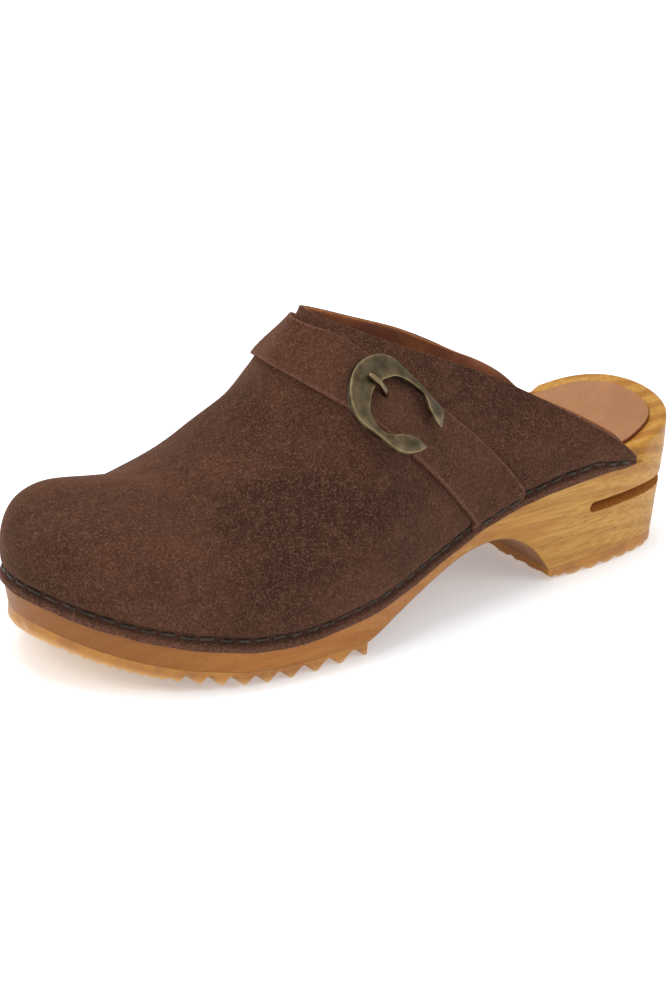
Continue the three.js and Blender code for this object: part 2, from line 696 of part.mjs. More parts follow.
function buckleRing() {
  const { spot, width } = ringPath();
  const sections = [];
  for (let k = 0; k <= BUCKLE_STEPS; k++) {
    const t = k / BUCKLE_STEPS;
    const middle = spot.getPoint(t);
    const tangent = spot.getTangent(t).setZ(0).normalize();
    const outwards = new THREE.Vector3(tangent.y, -tangent.x, 0).negate();
    const half = width(t) / 2;
    const bevel = Math.min(BUCKLE_BEVEL, 0.5 * half);
    const low = BUCKLE_HEIGHT + middle.z;
    const high = low + BUCKLE_THICKNESS;
    const at = (aside, z) => {
      const point = middle.clone().setZ(z).addScaledVector(outwards, aside);
      point.z -= BUCKLE_SAG * (point.x ** 2 + point.y ** 2) / BUCKLE_RADIUS ** 2;
      return point;
    };
    sections.push([
      at(-half, low), at(half, low), at(half, high - bevel), at(half - bevel, high),
      at(-half + bevel, high), at(-half, high - bevel),
    ]);
  }
  return sectionSolid(sections).applyMatrix4(buckleFrame());
}

// Prong: lies on the ring's bar and dips through the hole in the strap
function prong() {
  const onBar = BUCKLE_HEIGHT + BUCKLE_THICKNESS + GAP - BUCKLE_SAG + PRONG_WIDTH / 2;
  const path = new THREE.CatmullRomCurve3([
    new THREE.Vector3(PRONG_FROM, PRONG_ACROSS, onBar),
    new THREE.Vector3(mix(PRONG_FROM, PRONG_TO, 0.35), PRONG_ACROSS, onBar + 0.13 * PRONG_WIDTH),
    new THREE.Vector3(mix(PRONG_FROM, PRONG_TO, 0.72), PRONG_ACROSS, onBar - 0.18 * PRONG_WIDTH),
    new THREE.Vector3(PRONG_TO, PRONG_ACROSS, GAP + 0.5 * STRAP_THICKNESS),
  ]);
  const sides = 8;
  const sections = [];
  for (let k = 0; k <= 10; k++) {
    const centre = path.getPoint(k / 10);
    const tangent = path.getTangent(k / 10);
    const up = new THREE.Vector3(-tangent.z, 0, tangent.x);
    const across = new THREE.Vector3(0, 1, 0);
    const radius = (PRONG_WIDTH / 2) * (k === 0 || k === 10 ? 0.75 : 1);
    const ring = [];
    for (let side = 0; side < sides; side++) {
      const turn = (2 * Math.PI * side) / sides;
      ring.push(centre.clone()
        .addScaledVector(across, radius * Math.cos(turn))
        .addScaledVector(up, radius * Math.sin(turn)));
    }
    sections.push(ring);
  }
  return sectionSolid(sections).applyMatrix4(buckleFrame());
}

const LOOKS = {
  wood: { color: 0xc08a45, roughness: 0.5, metalness: 0 },
  rubber: { color: 0xb97a34, roughness: 0.6, metalness: 0 },
  suede: { color: 0x54392e, roughness: 0.95, metalness: 0 },
  lining: { color: 0xb88361, roughness: 0.7, metalness: 0 },
  brass: { color: 0x6d6340, roughness: 0.4, metalness: 0.9 },
};

const shoe = new THREE.Group();
shoe.position.x = -HEEL_CENTRE;
function addPiece(name, geometry, look) {
  const piece = new THREE.Mesh(geometry, new THREE.MeshStandardMaterial(LOOKS[look]));
  piece.name = name;
  shoe.add(piece);
}

const BALL_SHARE = 0.69;
const ballCentre = HEEL_CENTRE + LUG_PITCH * Math.round((BALL_SHARE * LENGTH - HEEL_CENTRE) / LUG_PITCH);
const END_MARGIN = BOTTOM_INSET + 2 * TREAD_EDGE_INSET;
addPiece("wood_sole", woodSole(), "wood");
addPiece(
  "forefoot_tread",
  tread(TREAD_BACK_AT + GAP, LENGTH - END_MARGIN, ballCentre, LUG_PITCH, LUG_LAND, LUG_DEPTH),
  "rubber",
);
addPiece(
  "heel_tread",
  tread(END_MARGIN, BREAST_AT - GAP, HEEL_CENTRE, HEEL_LUG_PITCH, HEEL_LUG_LAND, HEEL_LUG_DEPTH),
  "rubber",
);
addPiece("insole", insole(), "lining");
addPiece("upper", thicken(upperSurface(), -UPPER_WALL, 0), "suede");
addPiece("strap", strap(), "suede");
addPiece("buckle_ring", buckleRing(), "brass");
addPiece("buckle_prong", prong(), "brass");

const clog = new THREE.Group();
clog.add(shoe);
export default clog;
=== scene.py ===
# An open-backed clog for the left foot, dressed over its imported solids
# Lengths are in millimetres until a mesh is made. +X runs to the toe, +Y to the lateral side
import math
from collections import namedtuple

import bmesh
import bpy
import numpy as np
from mathutils import Matrix, Vector
from mathutils.bvhtree import BVHTree


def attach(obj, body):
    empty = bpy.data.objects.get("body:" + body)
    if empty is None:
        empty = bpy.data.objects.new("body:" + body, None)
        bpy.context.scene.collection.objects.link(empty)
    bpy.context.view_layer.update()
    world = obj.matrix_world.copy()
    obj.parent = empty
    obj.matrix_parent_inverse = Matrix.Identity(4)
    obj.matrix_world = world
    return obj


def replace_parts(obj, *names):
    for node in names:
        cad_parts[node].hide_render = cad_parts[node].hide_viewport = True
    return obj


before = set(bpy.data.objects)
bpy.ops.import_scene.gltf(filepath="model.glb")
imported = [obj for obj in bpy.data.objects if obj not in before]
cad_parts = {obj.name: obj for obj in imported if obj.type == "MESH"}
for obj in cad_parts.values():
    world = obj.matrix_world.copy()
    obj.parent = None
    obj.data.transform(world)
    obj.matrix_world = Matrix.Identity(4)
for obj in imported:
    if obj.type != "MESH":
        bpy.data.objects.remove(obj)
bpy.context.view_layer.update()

MM = 0.001

# Sizes of the sole
LENGTH = 255
BALL_WIDTH = 96
HEEL_WIDTH = 63
SEAT_HEIGHT = 40
TOE_SPRING = 14.8
TREAD_THICKNESS = 4.6
BOTTOM_INSET = 2
RIM_ROUNDING = 2.2
FOOTBED_DEPTH = 4
HEEL_CENTRE = 31
BREAST_AT = 62.5
ARCH_TOP_AT = 91
ARCH_HEIGHT = 21
TREAD_BACK_AT = 149.5
SLOT_HEIGHT = 3.9
SLOT_FLOOR = 21.3
SLOT_FRONT_AT = 47

# Sizes of the upper, insole, strap and buckle
UPPER_WALL = 2.2
INSTEP_HEIGHT = 103
INSTEP_AT = 150
POLE_AT = 200
CORNER_AT = 27
COLLAR_HALF_WIDTH = 23
LIP_PROUD = 1.2
GROOVE_PROUD = 0.2
STAPLE_GROOVE_HEIGHT = 4
INSOLE_THICKNESS = 1.3
INSOLE_MARGIN = 6
STRAP_THICKNESS = 1.8
GAP = 0.3

Outline = namedtuple("Outline", "at lateral medial")
OUTLINE = [
    Outline(0.0, 0.0, 0.0),
    Outline(0.015, 0.252, 0.248),
    Outline(0.05, 0.388, 0.386),
    Outline(0.1, 0.452, 0.452),
    Outline(0.18, 0.497, 0.495),
    Outline(0.3, 0.516, 0.47),
    Outline(0.4, 0.484, 0.393),
    Outline(0.5, 0.472, 0.346),
    Outline(0.6, 0.493, 0.38),
    Outline(0.68, 0.508, 0.438),
    Outline(0.76, 0.5, 0.482),
    Outline(0.84, 0.452, 0.452),
    Outline(0.9, 0.378, 0.367),
    Outline(0.95, 0.275, 0.265),
    Outline(0.985, 0.15, 0.144),
    Outline(1.0, 0.0, 0.0),
]
Height = namedtuple("Height", "at edge rim lift")
HEIGHTS = [
    Height(0.0, 0.86, 1.18, 0.0),
    Height(0.06, 0.86, 1.08, 0.0),
    Height(0.12, 0.87, 1.0, 0.0),
    Height(0.19, 0.885, 0.995, 0.0),
    Height(0.25, 0.86, 0.98, 0.0),
    Height(0.31, 0.8, 0.94, 0.0),
    Height(0.38, 0.69, 0.87, 0.0),
    Height(0.47, 0.555, 0.76, 0.0),
    Height(0.54, 0.455, 0.69, 0.0),
    Height(0.61, 0.385, 0.63, 0.0),
    Height(0.7, 0.325, 0.58, 0.0),
    Height(0.76, 0.318, 0.565, 0.04),
    Height(0.82, 0.322, 0.56, 0.17),
    Height(0.88, 0.325, 0.55, 0.35),
    Height(0.94, 0.32, 0.53, 0.62),
    Height(1.0, 0.31, 0.51, 1.0),
]
Crest = namedtuple("Crest", "at height")
CREST = [Crest(0.0, 1.0), Crest(0.25, 0.77), Crest(0.5, 0.658), Crest(0.75, 0.582), Crest(1.0, 0.538)]
COLLAR = [Crest(0.0, 1.0), Crest(0.25, 0.866), Crest(0.5, 0.735), Crest(0.75, 0.565), Crest(1.0, 0.37)]
StrapRow = namedtuple("StrapRow", "climb rear front")
STRAP = [
    StrapRow(0.0, 0.314, 0.400),
    StrapRow(0.12, 0.332, 0.435),
    StrapRow(0.28, 0.360, 0.480),
    StrapRow(0.4, 0.383, 0.527),
    StrapRow(0.56, 0.420, 0.590),
    StrapRow(0.7, 0.469, 0.605),
    StrapRow(0.82, 0.531, 0.614),
    StrapRow(0.9, 0.577, 0.620),
    StrapRow(1.0, 0.594, 0.626),
]
BUCKLE_AT = 134.9
BUCKLE_CLIMB = 0.567
BUCKLE_THICKNESS = 2
BUCKLE_HEIGHT = GAP + STRAP_THICKNESS + 0.6
BUCKLE_SAG = 0.8
BUCKLE_RADIUS = 15
RingRow = namedtuple("RingRow", "along across width lift")
BUCKLE = [
    RingRow(1.113, 0.360, 0.053, 0.173),
    RingRow(0.820, 0.553, 0.400, 0.147),
    RingRow(0.473, 0.767, 0.160, 0.080),
    RingRow(0.173, 0.833, 0.153, 0.027),
    RingRow(-0.207, 0.820, 0.267, 0.000),
    RingRow(-0.600, 0.690, 0.510, 0.000),
    RingRow(-0.905, 0.320, 0.590, 0.000),
    RingRow(-1.045, -0.118, 0.590, 0.000),
    RingRow(-0.975, -0.565, 0.540, 0.000),
    RingRow(-0.745, -0.885, 0.420, 0.000),
    RingRow(-0.340, -0.987, 0.187, 0.000),
    RingRow(-0.027, -0.973, 0.187, 0.027),
    RingRow(0.300, -0.907, 0.400, 0.147),
    RingRow(0.620, -0.673, 0.333, 0.160),
    RingRow(0.920, -0.433, 0.053, 0.173),
]
PRONG_FROM = -15.6
PRONG_ACROSS = -0.6
HOLE_ALONG = -5.4
HOLE_ACROSS = 1.8
PRONG_WIDTH = 1.9


# Curves and blends
def monotone_curve(xs, ys):
    xs, ys = np.asarray(xs, float), np.asarray(ys, float)
    slopes = np.diff(ys) / np.diff(xs)
    product = slopes[:-1] * slopes[1:]
    total = slopes[:-1] + slopes[1:]
    inner = np.where(product > 0, 2 * product / np.where(product > 0, total, 1), 0)
    tangents = np.concatenate([[slopes[0]], inner, [slopes[-1]]])

    def curve(x):
        x = np.clip(np.asarray(x, float), xs[0], xs[-1])
        k = np.clip(np.searchsorted(xs, x, side="left") - 1, 0, len(xs) - 2)
        span = xs[k + 1] - xs[k]
        t = (x - xs[k]) / span
        return (
            (2 * t**3 - 3 * t**2 + 1) * ys[k]
            + (t**3 - 2 * t**2 + t) * span * tangents[k]
            + (3 * t**2 - 2 * t**3) * ys[k + 1]
            + (t**3 - t**2) * span * tangents[k + 1]
        )

    return curve


def clamp01(value):
    return np.clip(value, 0, 1)


def smooth_step(t):
    t = clamp01(t)
    return t**2 * (3 - 2 * t)


def mix(a, b, t):
    return a + (b - a) * t


def angle_at(x):
    return np.arccos(1 - 2 * clamp01(np.asarray(x, float) / LENGTH))


def place_at(angle):
    return (LENGTH / 2) * (1 - np.cos(angle))


def column(table, name, key):
    return monotone_curve([key(row) for row in table], [getattr(row, name) for row in table])


lateral_share = column(OUTLINE, "lateral", lambda row: angle_at(row.at * LENGTH))
medial_share = column(OUTLINE, "medial", lambda row: angle_at(row.at * LENGTH))
edge_share = column(HEIGHTS, "edge", lambda row: row.at)
rim_share = column(HEIGHTS, "rim", lambda row: row.at)
lift_share = column(HEIGHTS, "lift", lambda row: row.at)
crest_share = column(CREST, "height", lambda row: row.at)
collar_share = column(COLLAR, "height", lambda row: row.at)
rear_share = column(STRAP, "rear", lambda row: row.climb)
front_share = column(STRAP, "front", lambda row: row.climb)

WAIST_START = 0.3
WAIST_END = 0.6


def local_width(x):
    return mix(HEEL_WIDTH, BALL_WIDTH, smooth_step((x / LENGTH - WAIST_START) / (WAIST_END - WAIST_START)))


def lift_at(x):
    return lift_share(x / LENGTH) * TOE_SPRING


def edge_height(x):
    return edge_share(x / LENGTH) * SEAT_HEIGHT + lift_at(x)


def rim_height(x):
    return rim_share(x / LENGTH) * SEAT_HEIGHT + lift_at(x)


# Sum of a few seeded waves, from about -1 to 1
def wobble(seed, x, y, size):
    random = np.random.default_rng(seed)
    total = 0 * x
    for _ in range(7):
        turn = random.uniform(0, 2 * np.pi)
        size_here = size * random.uniform(0.6, 1.8)
        phase = (x * np.cos(turn) + y * np.sin(turn)) * 2 * np.pi / size_here
        total = total + np.sin(phase + random.uniform(0, 2 * np.pi))
    return total / 7


# The outline runs from the heel (0) along the lateral side to the toe (pi) and back medially
ANGLE_STEP = 0.01


def outline_bare(turn):
    turn = np.mod(turn, 2 * np.pi)
    lateral = turn <= np.pi
    x = place_at(turn)
    share = np.where(lateral, lateral_share(turn), -medial_share(2 * np.pi - turn))
    return np.stack([x, share * local_width(x)], -1)


def outline_normal(turn):
    tangent = outline_bare(turn + ANGLE_STEP) - outline_bare(turn - ANGLE_STEP)
    tangent /= np.linalg.norm(tangent, axis=-1, keepdims=True)
    return np.stack([-tangent[..., 1], tangent[..., 0]], -1)


def outline(turn, outwards=0.0):
    return outline_bare(turn) + outline_normal(turn) * np.asarray(outwards, float)[..., None]


def even_turns(count, start=0.0, end=2 * np.pi):
    fine = np.linspace(start, end, 4000)
    points = outline_bare(fine)
    run = np.concatenate([[0], np.cumsum(np.linalg.norm(np.diff(points, axis=0), axis=1))])
    return np.interp(np.linspace(0, run[-1], count), run, fine)


# Outer face of the upper: rows below 0 run through the staple groove, 0 to 1 climb to the top
SIDE_RISE = 0.6
SIDE_RISE_TOE = 0.88
SIDE_BULGE = 0.04
SIDE_BULGE_TOE = 0.14
TOP_RUN_INSTEP = 0.3
TOP_RUN_VAMP = 0.44
TOP_RUN_TOE = 0.86
CREST_SLOPE = 0.4
RIDGE_DROOP = 0.16
COLLAR_DROOP = 0.45
GROOVE_ROWS = 1.6
CORNER_DROP = 1.5
CORNER_TURN = 8


def crest_place(x):
    return clamp01((x - INSTEP_AT) / (POLE_AT - INSTEP_AT))


def meridian_top(turn):
    x = place_at(turn)
    side = np.where(turn <= np.pi, 1.0, -1.0)
    crest = np.stack([np.minimum(x, POLE_AT), 0 * x, crest_share(crest_place(x)) * INSTEP_HEIGHT], -1)
    back = np.maximum((INSTEP_AT - x) / (INSTEP_AT - CORNER_AT), 0)
    opening = 1 - np.sqrt(1 - clamp01(back))
    spread = np.sqrt(1 - (1 - clamp01(opening / 0.55)) ** 2)
    beside = outline_bare(turn)[..., 1] + side * GROOVE_PROUD
    y = mix(side * COLLAR_HALF_WIDTH * spread, beside, smooth_step((back - 0.5) / 0.4))
    corner = CORNER_DROP * clamp01(1 - (x - CORNER_AT) / CORNER_TURN) ** 2
    collar = np.stack([x, y, collar_share(back) * INSTEP_HEIGHT - corner], -1)
    return np.where((x >= INSTEP_AT)[..., None], crest, collar)


def groove_depth(u):
    return smooth_step((u - 0.45) / 0.35) * (1 - smooth_step((u - 1.1) / 0.5))


def upper_point(turn, row):
    turn, row = np.broadcast_arrays(np.asarray(turn, float), np.asarray(row, float))
    x = place_at(turn)
    top = meridian_top(turn)
    edge = edge_height(x)
    squeeze = np.minimum(1, (top[..., 2] - edge) / (4 * STAPLE_GROOVE_HEIGHT))
    step = STAPLE_GROOVE_HEIGHT * squeeze
    lip = mix(GROOVE_PROUD, LIP_PROUD, squeeze)

    u = np.minimum(row, 0) + GROOVE_ROWS
    proud = lip - (lip - GROOVE_PROUD) * groove_depth(u)
    low = np.concatenate([outline(turn, proud), (edge + u * step)[..., None]], -1)

    base = np.concatenate([outline(turn, lip), (edge + GROOVE_ROWS * step)[..., None]], -1)
    height = top[..., 2] - base[..., 2]
    outwards = base - top
    outwards[..., 2] = 0
    outwards[..., 0] = np.where(x < POLE_AT, 0, outwards[..., 0])
    width = np.linalg.norm(outwards, axis=-1)
    forward = np.where(width > 0, outwards[..., 0] / np.maximum(width, 1e-9), 0)
    fan = smooth_step((x - POLE_AT) / (LENGTH - POLE_AT))
    ridge = RIDGE_DROOP * (1 - crest_place(x)) ** 2
    droop = mix(ridge, COLLAR_DROOP, smooth_step((INSTEP_AT - x) / (INSTEP_AT - CORNER_AT) / 0.6))
    control1 = base.copy()
    bulge = mix(SIDE_BULGE, SIDE_BULGE_TOE, fan) * height
    control1[..., :2] += outline_normal(turn) * bulge[..., None]
    control1[..., 2] += mix(SIDE_RISE, SIDE_RISE_TOE, fan) * height
    top_run = mix(mix(TOP_RUN_INSTEP, TOP_RUN_VAMP, crest_place(x)), TOP_RUN_TOE, fan)
    control2 = top + outwards * top_run[..., None]
    control2[..., 2] -= droop * height + CREST_SLOPE * forward * top_run * width * (1 - fan)
    t = clamp01(row)[..., None]
    s = 1 - t
    high = s**3 * base + 3 * s**2 * t * control1 + 3 * s * t**2 * control2 + t**3 * top
    return np.where((row < 0)[..., None], low, high)


# Meshes
def new_object(name, points, faces, materials, face_material=None, smooth=True):
    mesh = bpy.data.meshes.new(name)
    placed = (np.asarray(points, float) - [HEEL_CENTRE, 0, 0]) * MM
    mesh.from_pydata(placed.tolist(), [], [list(map(int, face)) for face in faces])
    mesh.validate()
    for material in materials:
        mesh.materials.append(material)
    if face_material is not None:
        mesh.polygons.foreach_set("material_index", np.asarray(face_material, np.int32))
    mesh.polygons.foreach_set("use_smooth", [smooth] * len(mesh.polygons))
    mesh.update()
    piece = bpy.data.objects.new(name, mesh)
    bpy.context.scene.collection.objects.link(piece)
    return piece


def grid_faces(rows, columns, wrap_rows=False):
    faces = []
    for i in range(rows if wrap_rows else rows - 1):
        for j in range(columns - 1):
            a = i * columns + j
            b = ((i + 1) % rows) * columns + j
            faces.append((a, a + 1, b + 1, b))
    return faces


def merge_points(points, faces, distance=0.02):
    keys = np.round(points / distance).astype(np.int64)
    _, first, inverse = np.unique(keys, axis=0, return_index=True, return_inverse=True)
    inverse = inverse.reshape(-1)
    merged = []
    for face in faces:
        ring = []
        for corner in face:
            target = int(inverse[corner])
            if not ring or ring[-1] != target:
                ring.append(target)
        if len(ring) > 1 and ring[0] == ring[-1]:
            ring.pop()
        if len(set(ring)) > 2:
            merged.append(tuple(ring))
    return points[first], merged, first, inverse


def mesh_edges(faces):
    pairs = []
    for face in faces:
        for k in range(len(face)):
            pairs.append((face[k], face[(k + 1) % len(face)]))
    return np.array(pairs)


def relax(points, faces, weight, rounds):
    pairs = mesh_edges(faces)
    both = np.concatenate([pairs, pairs[:, ::-1]])
    both = np.unique(both, axis=0)
    degree = np.bincount(both[:, 0], minlength=len(points))
    for _ in range(rounds):
        total = np.stack([
            np.bincount(both[:, 0], weights=points[both[:, 1], axis], minlength=len(points)) for axis in range(3)
        ], -1)
        points = mix(points, total / np.maximum(degree, 1)[:, None], weight[:, None])
    return points


def point_normals(points, faces):
    normals = np.zeros_like(points)
    for size in (3, 4):
        chosen = np.array([face for face in faces if len(face) == size])
        if not len(chosen):
            continue
        crossed = np.cross(
            points[chosen[:, size // 2]] - points[chosen[:, 0]],
            points[chosen[:, size - 1]] - points[chosen[:, 1]],
        )
        if size == 3:
            crossed = np.cross(points[chosen[:, 1]] - points[chosen[:, 0]], points[chosen[:, 2]] - points[chosen[:, 0]])
        for corner in range(size):
            for axis in range(3):
                normals[:, axis] += np.bincount(chosen[:, corner], weights=crossed[:, axis], minlength=len(points))
    return normals / np.maximum(np.linalg.norm(normals, axis=1, keepdims=True), 1e-12)


def border_edges(faces):
    pairs = mesh_edges(faces)
    seen = {(int(a), int(b)) for a, b in pairs}
    return [(a, b) for a, b in seen if (b, a) not in seen]


def float_attribute(piece, name, values):
    layer = piece.data.attributes.new(name, "FLOAT", "POINT")
    layer.data.foreach_set("value", np.asarray(values, np.float32))


# Sheet of leather: an outer face, an inner face and a cut edge that rounds from one to the other
def leather_sheet(points, faces, wall, edge_round):
    normals = point_normals(points, faces)
    borders = border_edges(faces)
    ahead = dict(borders)
    pairs = mesh_edges(faces)
    count = len(points)
    total = np.zeros_like(points)
    for axis in range(3):
        total[:, axis] = np.bincount(pairs[:, 0], weights=points[pairs[:, 1], axis], minlength=count)
        total[:, axis] += np.bincount(pairs[:, 1], weights=points[pairs[:, 0], axis], minlength=count)
    degree = np.bincount(pairs[:, 0], minlength=count) + np.bincount(pairs[:, 1], minlength=count)
    away = points - total / np.maximum(degree, 1)[:, None]
    away -= normals * (away * normals).sum(1, keepdims=True)
    for a, b in borders:
        along = points[b] - points[a]
        along /= max(np.linalg.norm(along), 1e-9)
        away[a] -= along * (away[a] @ along)
    away /= np.maximum(np.linalg.norm(away, axis=1, keepdims=True), 1e-9)

    inner = points - normals * wall
    all_points = [points, inner]
    all_faces = list(faces) + [tuple(corner + count for corner in reversed(face)) for face in faces]
    kinds = [0] * len(faces) + [2] * len(faces)
    rim = [a for a, _ in borders]
    place = {vertex: k for k, vertex in enumerate(rim)}
    shares = [(0.1, 0.75), (0.35, 1.0), (0.65, 1.0), (0.9, 0.75)]
    for share, push in shares:
        all_points.append(mix(points[rim], inner[rim], share) + away[rim] * edge_round * push)
    start = 2 * count
    for a, b in borders:
        chain_a = [a] + [start + k * len(rim) + place[a] for k in range(len(shares))] + [a + count]
        chain_b = [b] + [start + k * len(rim) + place[b] for k in range(len(shares))] + [b + count]
        for k in range(len(chain_a) - 1):
            all_faces.append((chain_b[k], chain_a[k], chain_a[k + 1], chain_b[k + 1]))
            kinds.append(0 if k == 0 else 2 if k == len(chain_a) - 2 else 1)
    return np.concatenate(all_points), all_faces, kinds, rim


# Materials: every texture runs in the part's own frame, in millimetres
def srgb(red, green, blue):
    def linear(value):
        share = value / 255
        return share / 12.92 if share <= 0.04045 else ((share + 0.055) / 1.055) ** 2.4

    return (linear(red), linear(green), linear(blue), 1.0)


class Look:
    def __init__(self, name, roughness, **settings):
        self.material = bpy.data.materials.new(name)
        self.material.use_nodes = True
        self.tree = self.material.node_tree
        self.shader = self.tree.nodes["Principled BSDF"]
        self.shader.inputs["Roughness"].default_value = roughness
        for key, value in settings.items():
            self.shader.inputs[key.replace("_", " ")].default_value = value
        coordinates = self.tree.nodes.new("ShaderNodeTexCoord").outputs["Object"]
        self.place = self.node("Mapping", Vector=coordinates, Scale=(1 / MM,) * 3).outputs[0]

    def node(self, kind, settings=None, **inputs):
        node = self.tree.nodes.new("ShaderNode" + kind)
        for key, value in (settings or {}).items():
            setattr(node, key, value)
        for key, value in inputs.items():
            self.plug(node.inputs[key], value)
        return node

    def plug(self, socket, value):
        if isinstance(value, bpy.types.NodeSocket):
            self.tree.links.new(value, socket)
        else:
            socket.default_value = value

    def stretched(self, scale, location=(0, 0, 0), rotation=(0, 0, 0)):
        return self.node("Mapping", Vector=self.place, Scale=scale, Location=location, Rotation=rotation).outputs[0]

    def noise(self, size, detail=3.0, roughness=0.55, vector=None, distortion=0.0):
        return self.node(
            "TexNoise", Vector=vector or self.place, Scale=1 / size, Detail=detail,
            Roughness=roughness, Distortion=distortion,
        ).outputs["Fac"]

    def attribute(self, name):
        return self.node("Attribute", {"attribute_name": name}).outputs["Fac"]

    def math(self, operation, first, second=0.0, third=0.0):
        node = self.node("Math", {"operation": operation})
        for socket, value in zip(node.inputs, (first, second, third)):
            self.plug(socket, value)
        return node.outputs[0]

    def span(self, value, low, high, start=0.0, end=1.0):
        node = self.node("MapRange", {"interpolation_type": "SMOOTHSTEP"})
        for key, number in zip(("Value", "From Min", "From Max", "To Min", "To Max"), (value, low, high, start, end)):
            self.plug(node.inputs[key], number)
        return node.outputs[0]

    def blend(self, share, first, second, kind="MIX"):
        node = self.node("Mix", {"data_type": "RGBA", "blend_type": kind})
        for socket, value in zip((node.inputs[0], node.inputs[6], node.inputs[7]), (share, first, second)):
            self.plug(socket, value)
        return node.outputs[2]

    def bump(self, height, strength, depth, normal=None):
        node = self.node("Bump", Height=height, Strength=strength, Distance=depth * MM)
        if normal is not None:
            self.plug(node.inputs["Normal"], normal)
        return node.outputs[0]

    def finish(self, colour, normal, roughness=None):
        self.plug(self.shader.inputs["Base Color"], colour)
        self.plug(self.shader.inputs["Normal"], normal)
        if roughness is not None:
            self.plug(self.shader.inputs["Roughness"], roughness)
        return self.material


def suede_look(name, dark, middle, light, speck):
    look = Look(name, 0.95, Sheen_Weight=0.24, Sheen_Roughness=0.4, Sheen_Tint=srgb(196, 140, 104))
    look.shader.inputs["Specular IOR Level"].default_value = 0.1
    brushed = look.noise(30, 3, 0.6, look.stretched((0.8, 1.2, 1.2), rotation=(0, 0.5, 0.3)), 0.6)
    nap = look.noise(3.4, 3, 0.6)
    grain = look.noise(0.82, 4, 0.7)
    fine = look.noise(0.5, 3, 0.65)
    fibre = look.noise(0.42, 2, 0.5, look.stretched((0.5, 1.2, 0.9), rotation=(0.3, 0.7, 0.5)))
    # Broad tone from brushed noise and the nap attribute, which also carries the painted light and shade of the nap
    # patches
    laid = look.math("ADD", look.math("MULTIPLY", brushed, 0.7), look.math("MULTIPLY", look.attribute("nap"), 0.22))
    tone = look.blend(look.span(laid, 0.16, 0.56), dark, middle)
    tone = look.blend(look.span(laid, 0.5, 0.85, 0.0, 0.6), tone, light)
    tone = look.blend(look.span(nap, 0.42, 0.75, 0.0, 0.25), tone, light)
    tone = look.blend(look.span(grain, 0.5, 0.32, 0.0, 0.85), tone, dark)
    tone = look.blend(look.span(grain, 0.5, 0.68, 0.0, 0.75), tone, light)
    tone = look.blend(look.span(fine, 0.45, 0.28, 0.0, 0.6), tone, dark)
    tone = look.blend(look.span(fibre, 0.56, 0.76, 0.0, 0.55), tone, speck)
    # Painted shade: the suede is drawn darker down in the staple groove, as much as the groove attribute says
    tone = look.blend(look.math("MULTIPLY", look.attribute("groove"), 0.5), tone, srgb(30, 20, 16))
    # Lighter edge: the cut lip's own colour low on the upper, and a painted highlight along the strap's long edges
    raw_edge_and_highlight = look.math("MULTIPLY", look.attribute("raw_edge_and_highlight"), look.span(grain, 0.34, 0.62, 0.15, 0.8))
    tone = look.blend(raw_edge_and_highlight, tone, srgb(112, 78, 64))
    normal = look.bump(nap, 0.25, 0.5)
    normal = look.bump(grain, 0.55, 0.45, normal)
    return look.finish(tone, look.bump(fine, 0.4, 0.2, normal))


def fibre_look(name, dark, light):
    look = Look(name, 0.95, Sheen_Weight=0.06, Sheen_Tint=srgb(196, 140, 104))
    look.shader.inputs["Specular IOR Level"].default_value = 0.1
    fibre = look.noise(0.5, 4, 0.7, look.stretched((0.5, 0.5, 1.6)))
    patch = look.noise(5, 2)
    tone = look.blend(look.span(fibre, 0.35, 0.68), dark, light)
    tone = look.blend(look.span(patch, 0.5, 0.75, 0.0, 0.35), tone, dark)
    return look.finish(tone, look.bump(fibre, 0.7, 0.4))


def smooth_leather_look(name, dark, light, pore, roughness, coat):
    look = Look(name, roughness, Coat_Weight=coat, Coat_Roughness=0.4)
    cloud = look.noise(17, 3, 0.5)
    fine = look.noise(1.1, 4, 0.6)
    cells = look.node(
        "TexVoronoi", {"feature": "DISTANCE_TO_EDGE"}, Vector=look.place, Scale=1 / 1.3, Randomness=1.0,
    ).outputs["Distance"]
    tone = look.blend(look.span(cloud, 0.35, 0.68), dark, light)
    tone = look.blend(look.span(fine, 0.58, 0.75, 0.0, 0.35), tone, dark)
    tone = look.blend(look.span(look.noise(0.45, 1), 0.27, 0.2, 0.0, 0.8), tone, pore)
    normal = look.bump(look.span(cells, 0.0, 0.12), 0.25, 0.12)
    normal = look.bump(fine, 0.25, 0.25, normal)
    return look.finish(tone, normal, look.span(fine, 0.3, 0.7, roughness - 0.08, roughness + 0.1))


